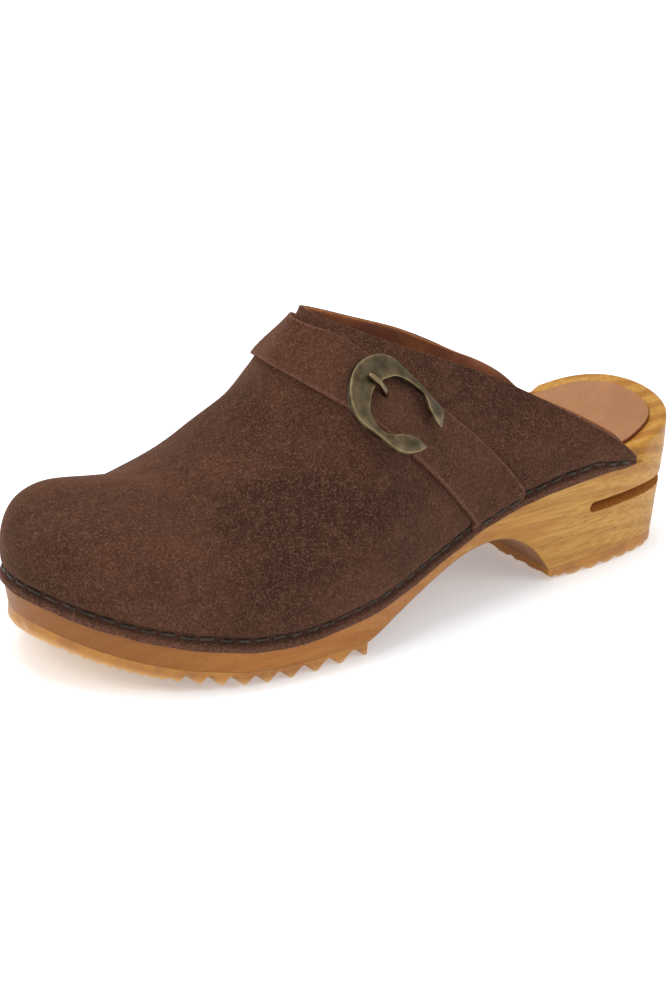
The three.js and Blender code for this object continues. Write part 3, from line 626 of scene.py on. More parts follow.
def wood_look():
    look = Look("lacquered_wood", 0.5, Coat_Weight=0.06, Coat_Roughness=0.3)
    look.shader.inputs["Specular IOR Level"].default_value = 0.25
    drift = look.noise(34, 2, 0.5, look.stretched((0.35, 1.0, 1.0)))
    along = look.stretched((0.16, 1.0, 1.0), location=(0, 46, -118), rotation=(0, 0.05, 0.09))
    rings = look.node(
        "TexWave", {"wave_type": "RINGS", "rings_direction": "X", "wave_profile": "SIN"},
        Vector=along, Scale=0.062, Distortion=5.0, Detail=2.0,
    )
    rings.inputs["Detail Scale"].default_value = 0.22
    rings.inputs["Detail Roughness"].default_value = 0.5
    ring = rings.outputs["Fac"]
    silk = look.noise(0.8, 3, 0.6, look.stretched((0.05, 1.0, 1.0), rotation=(0, 0.04, 0.03)))
    pores = look.noise(0.55, 2, 0.5, look.stretched((0.17, 1.0, 1.0), rotation=(0, 0.04, 0.03)))
    flecks = look.noise(1.5, 2, 0.5, look.stretched((0.5, 1.0, 1.0), location=(7, 3, 5)))
    tone = look.blend(look.span(ring, 0.25, 0.95), srgb(184, 134, 54), srgb(160, 106, 34))
    tone = look.blend(look.span(drift, 0.35, 0.68, 0.0, 0.55), tone, srgb(190, 146, 68))
    tone = look.blend(look.span(silk, 0.38, 0.66, 0.0, 0.5), tone, srgb(144, 88, 24))
    x = look.node("SeparateXYZ", Vector=look.place).outputs["X"]
    warmth = look.span(look.math("ADD", x, look.math("MULTIPLY", drift, 60.0)), 45.0, 150.0, 0.0, 0.72)
    tone = look.blend(warmth, tone, srgb(150, 86, 24))
    # Painted shade: the wood is drawn darker towards the toe
    tone = look.blend(look.span(x, 160.0, 215.0, 0.0, 0.55), tone, srgb(104, 58, 24))
    tone = look.blend(look.span(pores, 0.36, 0.26, 0.0, 0.6), tone, srgb(100, 56, 20))
    tone = look.blend(look.span(flecks, 0.3, 0.2, 0.0, 0.7), tone, srgb(88, 46, 16))
    # Painted shade: downward-facing wood, under the arch and on the heel breast, is drawn darker
    down = look.node("SeparateXYZ", Vector=look.node("NewGeometry").outputs["Normal"]).outputs["Z"]
    tone = look.blend(look.span(down, -0.25, -0.6, 0.0, 0.75), tone, srgb(112, 60, 24))
    normal = look.bump(silk, 0.14, 0.2)
    normal = look.bump(look.span(pores, 0.26, 0.36), 0.25, 0.15, normal)
    return look.finish(tone, normal, look.span(silk, 0.3, 0.7, 0.42, 0.58))


def rubber_look():
    look = Look("crepe_rubber", 0.5, Subsurface_Weight=0.18, Subsurface_Scale=0.004)
    look.shader.inputs["Subsurface Radius"].default_value = (1.0, 0.5, 0.2)
    cloud = look.noise(9, 3, 0.55)
    crumb = look.noise(1.3, 3, 0.6)
    speck = look.noise(0.7, 2, 0.5, look.stretched((1, 1, 1), location=(31, 7, 3)))
    tone = look.blend(look.span(cloud, 0.34, 0.68), srgb(156, 98, 30), srgb(178, 120, 44))
    tone = look.blend(look.span(crumb, 0.56, 0.74, 0.0, 0.4), tone, srgb(188, 138, 78))
    tone = look.blend(look.span(speck, 0.3, 0.22, 0.0, 0.7), tone, srgb(112, 64, 24))
    # Paler towards the ground: wear on the lug bottoms, brightened as painted light against the contact shadow there
    tone = look.blend(look.attribute("worn"), tone, srgb(206, 164, 108))
    normal = look.bump(crumb, 0.4, 0.35)
    return look.finish(tone, normal, look.span(cloud, 0.3, 0.7, 0.42, 0.62))


def brass_look():
    look = Look("antique_brass", 0.4, Metallic=0.9)
    patina = look.noise(4.2, 3, 0.55)
    brushed = look.noise(0.35, 3, 0.6)
    tone = look.blend(look.span(patina, 0.3, 0.7), srgb(70, 60, 43), srgb(94, 81, 60))
    tone = look.blend(look.span(brushed, 0.3, 0.2, 0.0, 0.6), tone, srgb(40, 33, 22))
    edge = look.math("MULTIPLY", look.attribute("worn"), look.span(patina, 0.28, 0.62, 0.5, 1.0))
    tone = look.blend(edge, tone, srgb(156, 136, 98))
    normal = look.bump(patina, 0.12, 0.2)
    return look.finish(tone, look.bump(brushed, 0.1, 0.08, normal), look.span(patina, 0.3, 0.7, 0.3, 0.52))


def staple_look():
    look = Look("staple_wire", 0.6)
    look.shader.inputs["Specular IOR Level"].default_value = 0.2
    patch = look.noise(1.6, 3, 0.6)
    tone = look.blend(look.span(patch, 0.4, 0.62), srgb(34, 27, 20), srgb(64, 53, 41))
    return look.finish(tone, look.bump(patch, 0.2, 0.1), look.span(patch, 0.3, 0.7, 0.34, 0.6))


def floor_look():
    look = Look("floor", 0.9)
    look.shader.inputs["Specular IOR Level"].default_value = 0.1
    look.shader.inputs["Emission Color"].default_value = (1, 1, 1, 1)
    look.shader.inputs["Emission Strength"].default_value = 0.28
    tone = look.blend(look.noise(220, 2), srgb(241, 245, 249), srgb(243, 247, 251))
    return look.finish(tone, look.bump(look.noise(6, 2), 0.02, 0.2))


SUEDE = suede_look("suede", srgb(51, 30, 21), srgb(77, 48, 35), srgb(105, 73, 57), srgb(122, 91, 74))
CUT_EDGE = fibre_look("cut_leather", srgb(74, 45, 32), srgb(126, 86, 64))
RAW_EDGE = fibre_look("raw_leather", srgb(34, 21, 17), srgb(80, 54, 45))
COLLAR_EDGE = fibre_look("collar_edge", srgb(116, 66, 32), srgb(168, 106, 60))
LINING = smooth_leather_look("lining", srgb(106, 54, 22), srgb(142, 78, 36), srgb(66, 32, 14), 0.75, 0.0)
INSOLE = smooth_leather_look("insole_leather", srgb(148, 99, 58), srgb(160, 109, 67), srgb(124, 78, 46), 0.66, 0.02)
INSOLE_EDGE = fibre_look("insole_edge", srgb(96, 50, 36), srgb(140, 84, 60))
WOOD = wood_look()
# Bare sawn wood for the slot's inside, drawn lighter as painted light against the slot's shade
SAWN_AND_PAINTED_LIGHT = fibre_look("sawn_wood_painted_light", srgb(172, 110, 46), srgb(204, 142, 72))
RUBBER = rubber_look()
BRASS = brass_look()
STAPLE = staple_look()
FLOOR = floor_look()


# Upper: a leather sheet over the last, softened along the ridge and over the toes
COLLAR_COLUMNS = 60
CREST_COLUMNS = 34
TOE_COLUMNS = 56
CLIMB_ROWS = 60
LOW_ROWS = 12
SOFTEN_FROM = 0.5
SOFTEN_RUN = 0.3
SOFTEN_ROUNDS = 70
EDGE_WAVE = 0.35
COLLAR_EDGE_SLOT = 4


def upper_turns():
    back = (1 + np.cos(np.pi * np.arange(COLLAR_COLUMNS) / COLLAR_COLUMNS)) / 2
    lateral = np.concatenate([
        angle_at(INSTEP_AT - (INSTEP_AT - CORNER_AT) * back),
        angle_at(np.linspace(INSTEP_AT, POLE_AT, CREST_COLUMNS, endpoint=False)),
        np.linspace(angle_at(POLE_AT), np.pi, TOE_COLUMNS, endpoint=False),
    ])
    return np.concatenate([lateral, [np.pi], 2 * np.pi - lateral[::-1]])


# Gentle swells and hollows of the leather, as heights over the last
Swell = namedtuple("Swell", "x y reach height")
SWELLS = [
    Swell(235, -20, 16, 2.3),
    Swell(200, -30, 13, -1.9),
    Swell(167, -25, 11, 2.3),
]


def swell_height(points):
    total = np.zeros(len(points))
    for swell in SWELLS:
        apart = ((points[:, :2] - [swell.x, swell.y]) ** 2).sum(1)
        total += swell.height * np.exp(-apart / swell.reach**2)
    return total


def upper_face():
    turns = upper_turns()
    rows = np.concatenate([np.linspace(-GROOVE_ROWS, 0, LOW_ROWS, endpoint=False), np.linspace(0, 1, CLIMB_ROWS + 1)])
    grid = upper_point(turns[:, None], rows[None, :])
    low = 1 - smooth_step((rows + GROOVE_ROWS) / 0.8)
    grid[..., 2] += EDGE_WAVE * wobble(21, grid[..., 0], grid[..., 1], 17) * low
    faces = grid_faces(len(turns), len(rows))
    row_of = np.tile(rows, len(turns))
    points, faces, first, inverse = merge_points(grid.reshape(-1, 3), faces)
    row_of = row_of[first]
    weight = 0.5 * smooth_step((row_of - SOFTEN_FROM) / SOFTEN_RUN)
    weight[[vertex for pair in border_edges(faces) for vertex in pair]] = 0
    points = relax(points, faces, weight, SOFTEN_ROUNDS)
    points[:, 2] += swell_height(points) * smooth_step(row_of / 0.35)
    return points, faces, row_of, (turns, rows, points[inverse].reshape(grid.shape))


upper_points, upper_faces, upper_rows, upper_grid = upper_face()
upper_tree = BVHTree.FromPolygons(upper_points.tolist(), upper_faces)


# Place on the softened upper, between the rows and columns of its grid
def on_upper(turn, row):
    turns, rows, grid = upper_grid
    i = np.interp(turn, turns, np.arange(len(turns)))
    j = np.interp(row, rows, np.arange(len(rows)))
    low_i = np.minimum(i.astype(int), len(turns) - 2)
    low_j = np.minimum(j.astype(int), len(rows) - 2)
    u, v = (i - low_i)[..., None], (j - low_j)[..., None]
    near = mix(grid[low_i, low_j], grid[low_i, low_j + 1], v)
    far = mix(grid[low_i + 1, low_j], grid[low_i + 1, low_j + 1], v)
    return mix(near, far, u)


# Broad patches of lighter and darker suede, by place on the upper: partly nap brushed up or down, partly painted light
# and shade
Patch = namedtuple("Patch", "x y z reach shade")
NAP_AND_PAINTED_LIGHT = [
    Patch(236, 12, 50, 24, -0.2),
    Patch(222, 38, 30, 20, 0.9),
    Patch(206, -8, 62, 18, 0.35),
    Patch(180, 10, 62, 16, 0.7),
    Patch(172, 30, 42, 24, -1.0),
    Patch(198, 34, 40, 20, -0.4),
    Patch(146, 42, 40, 18, -0.1),
    Patch(160, 46, 24, 15, 0.9),
    Patch(196, 44, 26, 13, 0.3),
    Patch(120, 42, 42, 14, 0.5),
    Patch(64, 30, 52, 22, 0.7),
    Patch(152, 6, 92, 18, 1.2),
]


def nap_and_painted_light(points):
    total = np.zeros(len(points))
    for patch in NAP_AND_PAINTED_LIGHT:
        apart = ((points - [patch.x, patch.y, patch.z]) ** 2).sum(1)
        total += patch.shade * np.exp(-apart / patch.reach**2)
    return total


# Painted shade in the staple groove: how much darker the suede is drawn along the groove rows
def groove_shade(rows):
    u = np.minimum(rows, 0) + GROOVE_ROWS
    return np.where(rows < 0, groove_depth(u), 0)


def raw_shade(rows):
    u = np.minimum(rows, 0) + GROOVE_ROWS
    return np.where(rows < 0, 0.6 - 0.6 * smooth_step((u - 0.1) / 0.5), 0)


def make_upper():
    points, faces, kinds, rim = leather_sheet(upper_points, upper_faces, UPPER_WALL, 0.35)
    rim_rows = np.tile(upper_rows[rim], 4)
    rows = np.concatenate([upper_rows, upper_rows, rim_rows])
    kinds = np.array(kinds)
    lowest = -GROOVE_ROWS + 0.01
    low_face = np.array([max(rows[list(face)]) < lowest for face in faces])
    round_edge = kinds[len(kinds) - 5 * len(rim):].reshape(-1, 5)
    round_edge[:, 3:] = COLLAR_EDGE_SLOT
    materials = np.where((kinds % COLLAR_EDGE_SLOT != 2) & (kinds > 0) & low_face, 3, kinds)
    dress = [SUEDE, CUT_EDGE, LINING, RAW_EDGE, COLLAR_EDGE]
    piece = new_object("suede_upper", points, faces, dress, materials)
    # Painted shade in the staple groove
    float_attribute(piece, "groove", groove_shade(rows))
    float_attribute(piece, "raw_edge_and_highlight", raw_shade(rows))
    # Nap patches: partly nap tone, partly painted light and shade
    float_attribute(piece, "nap", nap_and_painted_light(points))
    return piece


# Strap: a strip of the same leather over the upper, down to the staples on both sides
STRAP_CLIMB_ROWS = 96
STRAP_LIFT = 0.05
STRAP_END_ROW = -0.82
STRAP_END_ROWS = 8
STRAP_SEATINGS = 6
STRAP_SMOOTHINGS = 30
HOLE_RADIUS = 1.3
STRAP_SKIN = UPPER_WALL + 8
STRAP_COLUMNS = np.concatenate([[0, 0.012, 0.03, 0.055], np.linspace(0.1, 0.9, 15), [0.945, 0.97, 0.988, 1]])


def strap_side(side):
    rows = np.concatenate([
        np.linspace(STRAP_END_ROW, 0, STRAP_END_ROWS, endpoint=False), np.linspace(0, 1, STRAP_CLIMB_ROWS + 1),
    ])
    climb = np.maximum(rows, 0)
    rear, front = rear_share(climb) * LENGTH, front_share(climb) * LENGTH
    turn = angle_at(mix(rear[:, None], front[:, None], STRAP_COLUMNS[None, :]))
    if side < 0:
        turn = 2 * np.pi - turn
    return on_upper(turn, np.broadcast_to(rows[:, None], turn.shape)), rows


def strap_face():
    lateral, rows = strap_side(1)
    medial, _ = strap_side(-1)
    columns = len(STRAP_COLUMNS)
    seated = np.concatenate([lateral, medial[::-1][1:]]).reshape(-1, 3)
    row_of = np.repeat(np.concatenate([rows, rows[::-1][1:]]), columns)
    faces = [tuple(reversed(face)) for face in grid_faces(len(row_of) // columns, columns)]
    strip = seated.reshape(-1, columns, 3)
    middle = strip[STRAP_END_ROWS:-STRAP_END_ROWS]
    run = np.linalg.norm(np.diff(middle, axis=0), axis=2).cumsum(axis=0)
    for column in range(columns):
        at = np.concatenate([[0], run[:, column]])
        even = np.linspace(0, at[-1], len(at))
        middle[:, column] = np.stack([np.interp(even, at, middle[:, column, axis]) for axis in range(3)], 1)
    for _ in range(STRAP_SEATINGS):
        for _ in range(STRAP_SMOOTHINGS):
            middle[1:-1] = (middle[:-2] + 2 * middle[1:-1] + middle[2:]) / 4
        for point in middle.reshape(-1, 3):
            point[:] = upper_tree.find_nearest(Vector(point))[0]
    for _ in range(4):
        strip[1:-1] = (strip[:-2] + 2 * strip[1:-1] + strip[2:]) / 4
    # Painted highlight along the strap's long edges, together with the lighter cut nap there
    edge = np.tile(1 - smooth_step(np.minimum(STRAP_COLUMNS, 1 - STRAP_COLUMNS) / 0.035), len(row_of) // columns)
    return seated + point_normals(seated, faces) * (STRAP_LIFT + STRAP_THICKNESS), faces, row_of, edge


def frame_of_buckle():
    def on(x, climb):
        return upper_point(angle_at(x), climb)

    def middle(climb):
        return on(mix(rear_share(climb), front_share(climb), 0.5) * LENGTH, climb)

    centre = on(BUCKLE_AT, BUCKLE_CLIMB)
    forward = on(BUCKLE_AT + 4, BUCKLE_CLIMB) - on(BUCKLE_AT - 4, BUCKLE_CLIMB)
    upward = on(BUCKLE_AT, BUCKLE_CLIMB + 0.05) - on(BUCKLE_AT, BUCKLE_CLIMB - 0.05)
    off = np.cross(upward, forward)
    off /= np.linalg.norm(off)
    along = middle(BUCKLE_CLIMB - 0.15) - middle(BUCKLE_CLIMB + 0.15)
    along -= off * (along @ off)
    along /= np.linalg.norm(along)
    return centre, np.stack([along, np.cross(off, along), off])


buckle_centre, buckle_axes = frame_of_buckle()


def from_buckle(points):
    return buckle_centre + np.asarray(points, float) @ buckle_axes


def cut(piece, cutter):
    modifier = piece.modifiers.new("cut", "BOOLEAN")
    modifier.operation = "DIFFERENCE"
    modifier.solver = "EXACT"
    modifier.object = cutter
    bpy.context.view_layer.update()
    graph = bpy.context.evaluated_depsgraph_get()
    mesh = bpy.data.meshes.new_from_object(piece.evaluated_get(graph))
    piece.modifiers.clear()
    old = piece.data
    piece.data = mesh
    bpy.data.meshes.remove(old)
    bpy.data.objects.remove(cutter)


def plain_solid(name, points, faces):
    mesh = bpy.data.meshes.new(name)
    placed = (np.asarray(points, float) - [HEEL_CENTRE, 0, 0]) * MM
    mesh.from_pydata(placed.tolist(), [], faces)
    shape = bmesh.new()
    shape.from_mesh(mesh)
    bmesh.ops.recalc_face_normals(shape, faces=shape.faces)
    shape.to_mesh(mesh)
    shape.free()
    solid = bpy.data.objects.new(name, mesh)
    bpy.context.scene.collection.objects.link(solid)
    return solid


def prism(name, ring, low, high, place):
    count = len(ring)
    points = [place(a, b, level) for level in (low, high) for a, b in ring]
    sides = [(k, (k + 1) % count, (k + 1) % count + count, k + count) for k in range(count)]
    return plain_solid(name, points, sides + [tuple(range(count))[::-1], tuple(range(count, 2 * count))])


def make_strap():
    face_points, faces, row_of, edge = strap_face()
    points, faces, kinds, rim = leather_sheet(face_points, faces, STRAP_THICKNESS, 0.3)
    rows = np.concatenate([row_of, row_of, np.tile(row_of[rim], 4)])
    piece = new_object("suede_strap", points, faces, [SUEDE, CUT_EDGE, CUT_EDGE], kinds)
    # Painted shade at the strap's ends, where they run down into the staple groove
    float_attribute(piece, "groove", 0.6 * groove_shade(rows))
    # Painted highlight along the strap's edges
    float_attribute(piece, "raw_edge_and_highlight", np.concatenate([edge, edge, np.tile(edge[rim], 4)]))
    # The strap is drawn a little lighter all over: partly nap, partly painted light on its top
    float_attribute(piece, "nap", 0.3 + nap_and_painted_light(points))
    turn = np.linspace(0, 2 * np.pi, 24, endpoint=False)
    ring = [(HOLE_ALONG + HOLE_RADIUS * math.cos(t), HOLE_ACROSS + HOLE_RADIUS * math.sin(t)) for t in turn]
    hole = prism("hole", ring, -STRAP_LIFT, STRAP_SKIN, lambda a, b, level: from_buckle([a, b, level]))
    cut(piece, hole)
    return piece


# Wood: loops round the outline, from under the sole, up its wall, over the rim to the footbed
EDGE_ROUNDING = 1.3
SEAM_ROUNDING = 0.2
REBATE = UPPER_WALL + GAP - GROOVE_PROUD
REBATE_FADE = 4
REBATE_END_AT = CORNER_AT - GAP
CORNER_RUN = 8
WOOD_TURNS = 150
WALL_ROWS = 14
FOOTBED_RUN = 15
Dish = namedtuple("Dish", "inside depth")
DISH = [
    Dish(RIM_ROUNDING, 0.0),
    Dish(INSOLE_MARGIN, 0.3),
    Dish(INSOLE_MARGIN + 0.27 * FOOTBED_RUN, 0.6),
    Dish(INSOLE_MARGIN + 0.6 * FOOTBED_RUN, 0.88),
    Dish(INSOLE_MARGIN + FOOTBED_RUN, 1.0),
]
dish_share = column(DISH, "depth", lambda row: row.inside)


def bezier(points, count):
    t = np.linspace(0, 1, count)[:, None]
    a, b, c, d = np.asarray(points, float)
    return (1 - t) ** 3 * a + 3 * (1 - t) ** 2 * t * b + 3 * (1 - t) * t**2 * c + t**3 * d


def arch_line():
    breast_run = ARCH_TOP_AT - BREAST_AT
    forward_run = TREAD_BACK_AT - ARCH_TOP_AT
    knee = TREAD_THICKNESS + 0.42 * (ARCH_HEIGHT - TREAD_THICKNESS)
    breast = bezier([
        (BREAST_AT, TREAD_THICKNESS), (BREAST_AT + 0.2 * breast_run, knee),
        (ARCH_TOP_AT - 0.52 * breast_run, ARCH_HEIGHT), (ARCH_TOP_AT, ARCH_HEIGHT),
    ], 40)
    fall = bezier([
        (ARCH_TOP_AT, ARCH_HEIGHT), (ARCH_TOP_AT + 0.33 * forward_run, ARCH_HEIGHT),
        (TREAD_BACK_AT - 0.33 * forward_run, knee), (TREAD_BACK_AT, TREAD_THICKNESS),
    ], 60)
    return np.concatenate([breast, fall[1:]])


ARCH = arch_line()


def flat_bottom(x):
    return TREAD_THICKNESS + lift_at(x)


def sole_bottom(x):
    return np.where((x > BREAST_AT) & (x < TREAD_BACK_AT), np.interp(x, ARCH[:, 0], ARCH[:, 1]), flat_bottom(x))


def edge_round(x):
    arched = smooth_step((x - BREAST_AT) / 6) * (1 - smooth_step((x - TREAD_BACK_AT + 14) / 14))
    return mix(SEAM_ROUNDING, EDGE_ROUNDING, arched)


def rebate_at(x):
    return REBATE * clamp01((x - REBATE_END_AT + REBATE_FADE) / REBATE_FADE)


def shelf_height(x):
    return edge_height(x) - GAP * (1 + clamp01(1 - (x - CORNER_AT) / CORNER_RUN))


def loop_turns(count, stations=()):
    lateral = np.concatenate([even_turns(count, 0, np.pi), angle_at(np.array(stations, float))])
    lateral = np.unique(np.round(lateral, 5))
    lateral = lateral[np.concatenate([[True], np.diff(lateral) > 2e-4])]
    lateral[-1] = np.pi
    return np.concatenate([lateral, 2 * np.pi - lateral[-2:0:-1]])


def loop(turns, outwards, height, straight=False):
    base = outline_bare(turns)
    pushed = outline(turns, np.broadcast_to(outwards(base[:, 0]), turns.shape))
    if straight:
        held = smooth_step((base[:, 0] - 44) / 8) * (1 - smooth_step((base[:, 0] - 160) / 12))
        pushed[:, 0] = mix(pushed[:, 0], base[:, 0], held)
    return np.concatenate([pushed, height(pushed[:, 0])[:, None]], 1)


# Closed skin through a stack of loops, with a ladder of rungs across its first and last loop
def loop_skin(loops):
    count = len(loops[0])
    half = count // 2
    points = np.concatenate(loops)
    faces = []
    for level in range(len(loops) - 1):
        for k in range(count):
            following = (k + 1) % count
            low, high = level * count, (level + 1) * count
            faces.append((low + k, low + following, high + following, high + k))
    top = (len(loops) - 1) * count
    for k in range(half):
        other, beyond = (count - k) % count, count - k - 1
        faces.append((k, other, beyond, k + 1))
        faces.append((top + other, top + k, top + k + 1, top + beyond))
    points, faces, _, _ = merge_points(points, faces, 0.01)
    return points, [face[::-1] for face in faces]


def wood_loops(turns):
    def inset(x, z):
        bottom = flat_bottom(x)
        return BOTTOM_INSET * clamp01(1 - (z - bottom) / (shelf_height(x) - bottom))

    loops = []
    for bend in (0, 30, 60, 90):
        sideways = 1 - math.sin(math.radians(bend))
        upward = 1 - math.cos(math.radians(bend))
        loops.append(loop(
            turns, lambda x: -inset(x, sole_bottom(x)) - edge_round(x) * sideways,
            lambda x: sole_bottom(x) + edge_round(x) * upward, True,
        ))
    for row in range(1, WALL_ROWS + 1):
        share = row / WALL_ROWS

        def level(x, share=share):
            return mix(sole_bottom(x) + edge_round(x), shelf_height(x), share)

        loops.append(loop(turns, lambda x: -inset(x, level(x)), level, True))
    loops.append(loop(turns, lambda x: -rebate_at(x), shelf_height))
    for share in (0.35, 0.7):
        loops.append(loop(
            turns, lambda x: -rebate_at(x), lambda x: mix(shelf_height(x), rim_height(x) - RIM_ROUNDING, share),
        ))
    for bend in (0, 22, 45, 68, 90):
        inwards = RIM_ROUNDING * (1 - math.cos(math.radians(bend)))
        down = RIM_ROUNDING * (1 - math.sin(math.radians(bend)))
        loops.append(loop(turns, lambda x: -rebate_at(x) - inwards, lambda x: rim_height(x) - down))
    start = REBATE + RIM_ROUNDING + 0.3
    for inside in np.concatenate([np.linspace(start, INSOLE_MARGIN, 3), INSOLE_MARGIN + np.array([2, 4, 6.5, 9, 12, 15])]):
        loops.append(loop(turns, lambda x: 0 * x - inside, lambda x: rim_height(x) - dish_share(inside) * FOOTBED_DEPTH))
    return loops


def make_wood():
    stations = [BREAST_AT, ARCH_TOP_AT, TREAD_BACK_AT, CORNER_AT, REBATE_END_AT, REBATE_END_AT - REBATE_FADE]
    stations += list(np.linspace(BREAST_AT, BREAST_AT + 14, 15))
    points, faces = loop_skin(wood_loops(loop_turns(WOOD_TURNS, stations)))
    piece = new_object("wooden_sole", points, faces, [WOOD, SAWN_AND_PAINTED_LIGHT])
    radius = SLOT_HEIGHT / 2
    bends = np.linspace(-math.pi / 2, math.pi / 2, 13)
    ring = [(SLOT_FRONT_AT - radius + radius * math.cos(t), SLOT_FLOOR + radius + radius * math.sin(t)) for t in bends]
    ring += [(-LENGTH / 10, SLOT_FLOOR + SLOT_HEIGHT), (-LENGTH / 10, SLOT_FLOOR)]
    slot = prism("slot", ring, -BALL_WIDTH, BALL_WIDTH, lambda x, z, y: (x, y, z))
    # The slot's inside takes the lighter sawn wood, partly painted light where the slot is in shade
    slot.data.materials.append(WOOD)
    slot.data.materials.append(SAWN_AND_PAINTED_LIGHT)
    slot.data.polygons.foreach_set("material_index", [1] * len(slot.data.polygons))
    cut(piece, slot)
    piece.data.set_sharp_from_angle(angle=math.radians(38))
    return piece


# Insole: a thin cut leather with a stained edge, seated in the dish
INSOLE_SEAT = 0.05


def make_insole():
    turns = loop_turns(130)
    insides = INSOLE_MARGIN + np.array([15, 12, 9, 6.5, 4, 2, 0.7])

    def sheet_loop(inside, rise):
        return loop(turns, lambda x: 0 * x - inside, lambda x: rim_height(x) - dish_share(inside) * FOOTBED_DEPTH + rise)

    top_rise = GAP + INSOLE_THICKNESS
    loops = [sheet_loop(inside, INSOLE_SEAT) for inside in insides]
    loops.append(sheet_loop(INSOLE_MARGIN, INSOLE_SEAT + 0.1))
    loops.append(sheet_loop(INSOLE_MARGIN, top_rise - 0.5))
    loops.append(sheet_loop(INSOLE_MARGIN + 0.2, top_rise - 0.12))
    loops += [sheet_loop(inside, top_rise) for inside in insides[::-1]]
    points, faces = loop_skin(loops)
    count = len(turns)
    edge = (len(insides) - 1) * count
    rising = np.concatenate(loops)
    top = {tuple(np.round(point, 4)) for point in rising[edge + 3 * count:]}
    material = [0 if all(tuple(np.round(points[c], 4)) in top for c in face) else 1 for face in faces]
    return new_object("insole_leather", points, faces, [INSOLE, INSOLE_EDGE], material)


# Treads: sections along the shoe, with round valleys between flat lugs that wear unevenly
LUG_BALL_AT = 171.4
LUG_PITCH = 10.1
LUG_SQUEEZE = -0.32
LUG_DEPTH = 3.1
LUG_FRONT_AT = 222
HEEL_LUG_AT = 42
HEEL_LUG_PITCH = 8.0
HEEL_LUG_SQUEEZE = 0.34
HEEL_LUG_DEPTH = 2.3
TREAD_EDGE_INSET = 0.1
TREAD_STEP = 0.45
TREAD_ACROSS = 26
TREAD_EDGE_ROUNDING = 0.7
NICK_PITCH = 2.7
NICK_DEPTH = 1.2


def inset_sides(x, inwards):
    turns = np.linspace(0.0, np.pi, 1500)
    lateral = outline(turns, 0 * turns - inwards)
    medial = outline(2 * np.pi - turns, 0 * turns - inwards)
    sides = []
    for side in (lateral, medial):
        order = np.argsort(side[:, 0])
        sides.append(np.interp(x, side[order, 0], side[order, 1]))
    return sides


# Share of the way from a lug's tip (0) to the valley beside it (1), on a pitch that changes
def lug_share(x, centre, pitch, squeeze):
    inside = np.maximum(pitch**2 + 4 * squeeze * (x - centre), 0)
    number = (np.sqrt(inside) - pitch) / (2 * squeeze)
    return 2 * np.abs((number + 0.5) % 1 - 0.5)


def tread_stations(start, end):
    middle = np.arange(start + 2, end - 2, TREAD_STEP)
    bend = (1 - np.cos(np.linspace(0, np.pi / 2, 10))) * 2
    return np.unique(np.round(np.concatenate([start + bend, middle, end - bend]), 4))


def make_tread(name, node, start, end, rise):
    x = tread_stations(start, end)
    left, right = inset_sides(x, BOTTOM_INSET + TREAD_EDGE_INSET)
    count = len(x)
    top = flat_bottom(x) - 0.02
    sections = [np.stack([x, mix(left, right, s), top], 1) for s in np.linspace(0, 1, 8)]
    side_rows = np.linspace(0.12, 1, 5)
    bends = np.radians([18, 45, 72])

    def bottom(y, far):
        ground = lift_at(x) + rise(x, y)
        worn = lift_at(x) + 0.02
        return np.maximum(ground, worn) + TREAD_EDGE_ROUNDING * far

    rows = []
    for y, side in ((right, 1), (left, -1)):
        wall = [np.stack([x, y, mix(top, bottom(y, 1.0), s)], 1) for s in side_rows]
        for bend in bends:
            moved = y + side * TREAD_EDGE_ROUNDING * (1 - math.cos(bend))
            wall.append(np.stack([x, moved, bottom(moved, 1 - math.sin(bend))], 1))
        rows.append(wall)
    inner = [mix(right + TREAD_EDGE_ROUNDING, left - TREAD_EDGE_ROUNDING, s) for s in np.linspace(0, 1, TREAD_ACROSS)]
    across = [np.stack([x, y, bottom(y, 0.0)], 1) for y in inner]
    ring = sections + rows[0] + across + rows[1][::-1]
    size = len(ring)
    points = np.stack(ring, 1).reshape(-1, 3)
    faces = [
        (k * size + j, k * size + (j + 1) % size, (k + 1) * size + (j + 1) % size, (k + 1) * size + j)
        for k in range(count - 1) for j in range(size)
    ]
    faces += [tuple(range(size))[::-1], tuple(range((count - 1) * size, count * size))]
    piece = new_object(name, points, faces, [RUBBER])
    ground = lift_at(points[:, 0])
    # Paler near the ground: lug wear, partly painted light against the contact shadow
    float_attribute(piece, "worn", 0.8 * (1 - smooth_step((points[:, 2] - ground - 0.2) / 2.4)))
    piece.data.set_sharp_from_angle(angle=math.radians(42))
    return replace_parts(piece, node)


def make_forefoot_tread():
    def rise(x, y):
        slope = clamp01((lug_share(x, LUG_BALL_AT, LUG_PITCH, LUG_SQUEEZE) - 0.1) / 0.9)
        lugs = np.sin(slope * np.pi / 2) ** 1.15 * (LUG_DEPTH + 0.3 * wobble(3, x, y, 30))
        lugs = lugs * (1 - smooth_step((x - LUG_FRONT_AT + 3) / 6))
        fade = smooth_step((x - LUG_FRONT_AT) / 4) * (1 - smooth_step((x - 246) / 8))
        nicks = NICK_DEPTH * fade * (0.6 + 0.4 * wobble(5, x, y, 9))
        toe = nicks * 2 * np.abs((x + 0.8 * wobble(6, x, y, 14)) / NICK_PITCH % 1 - 0.5)
        return lugs + toe + 0.05 * (1 + wobble(8, x, y, 3))

    end = LENGTH - BOTTOM_INSET - TREAD_EDGE_INSET - 0.15
    return make_tread("rubber_tread_forefoot", "forefoot_tread", TREAD_BACK_AT + GAP, end, rise)


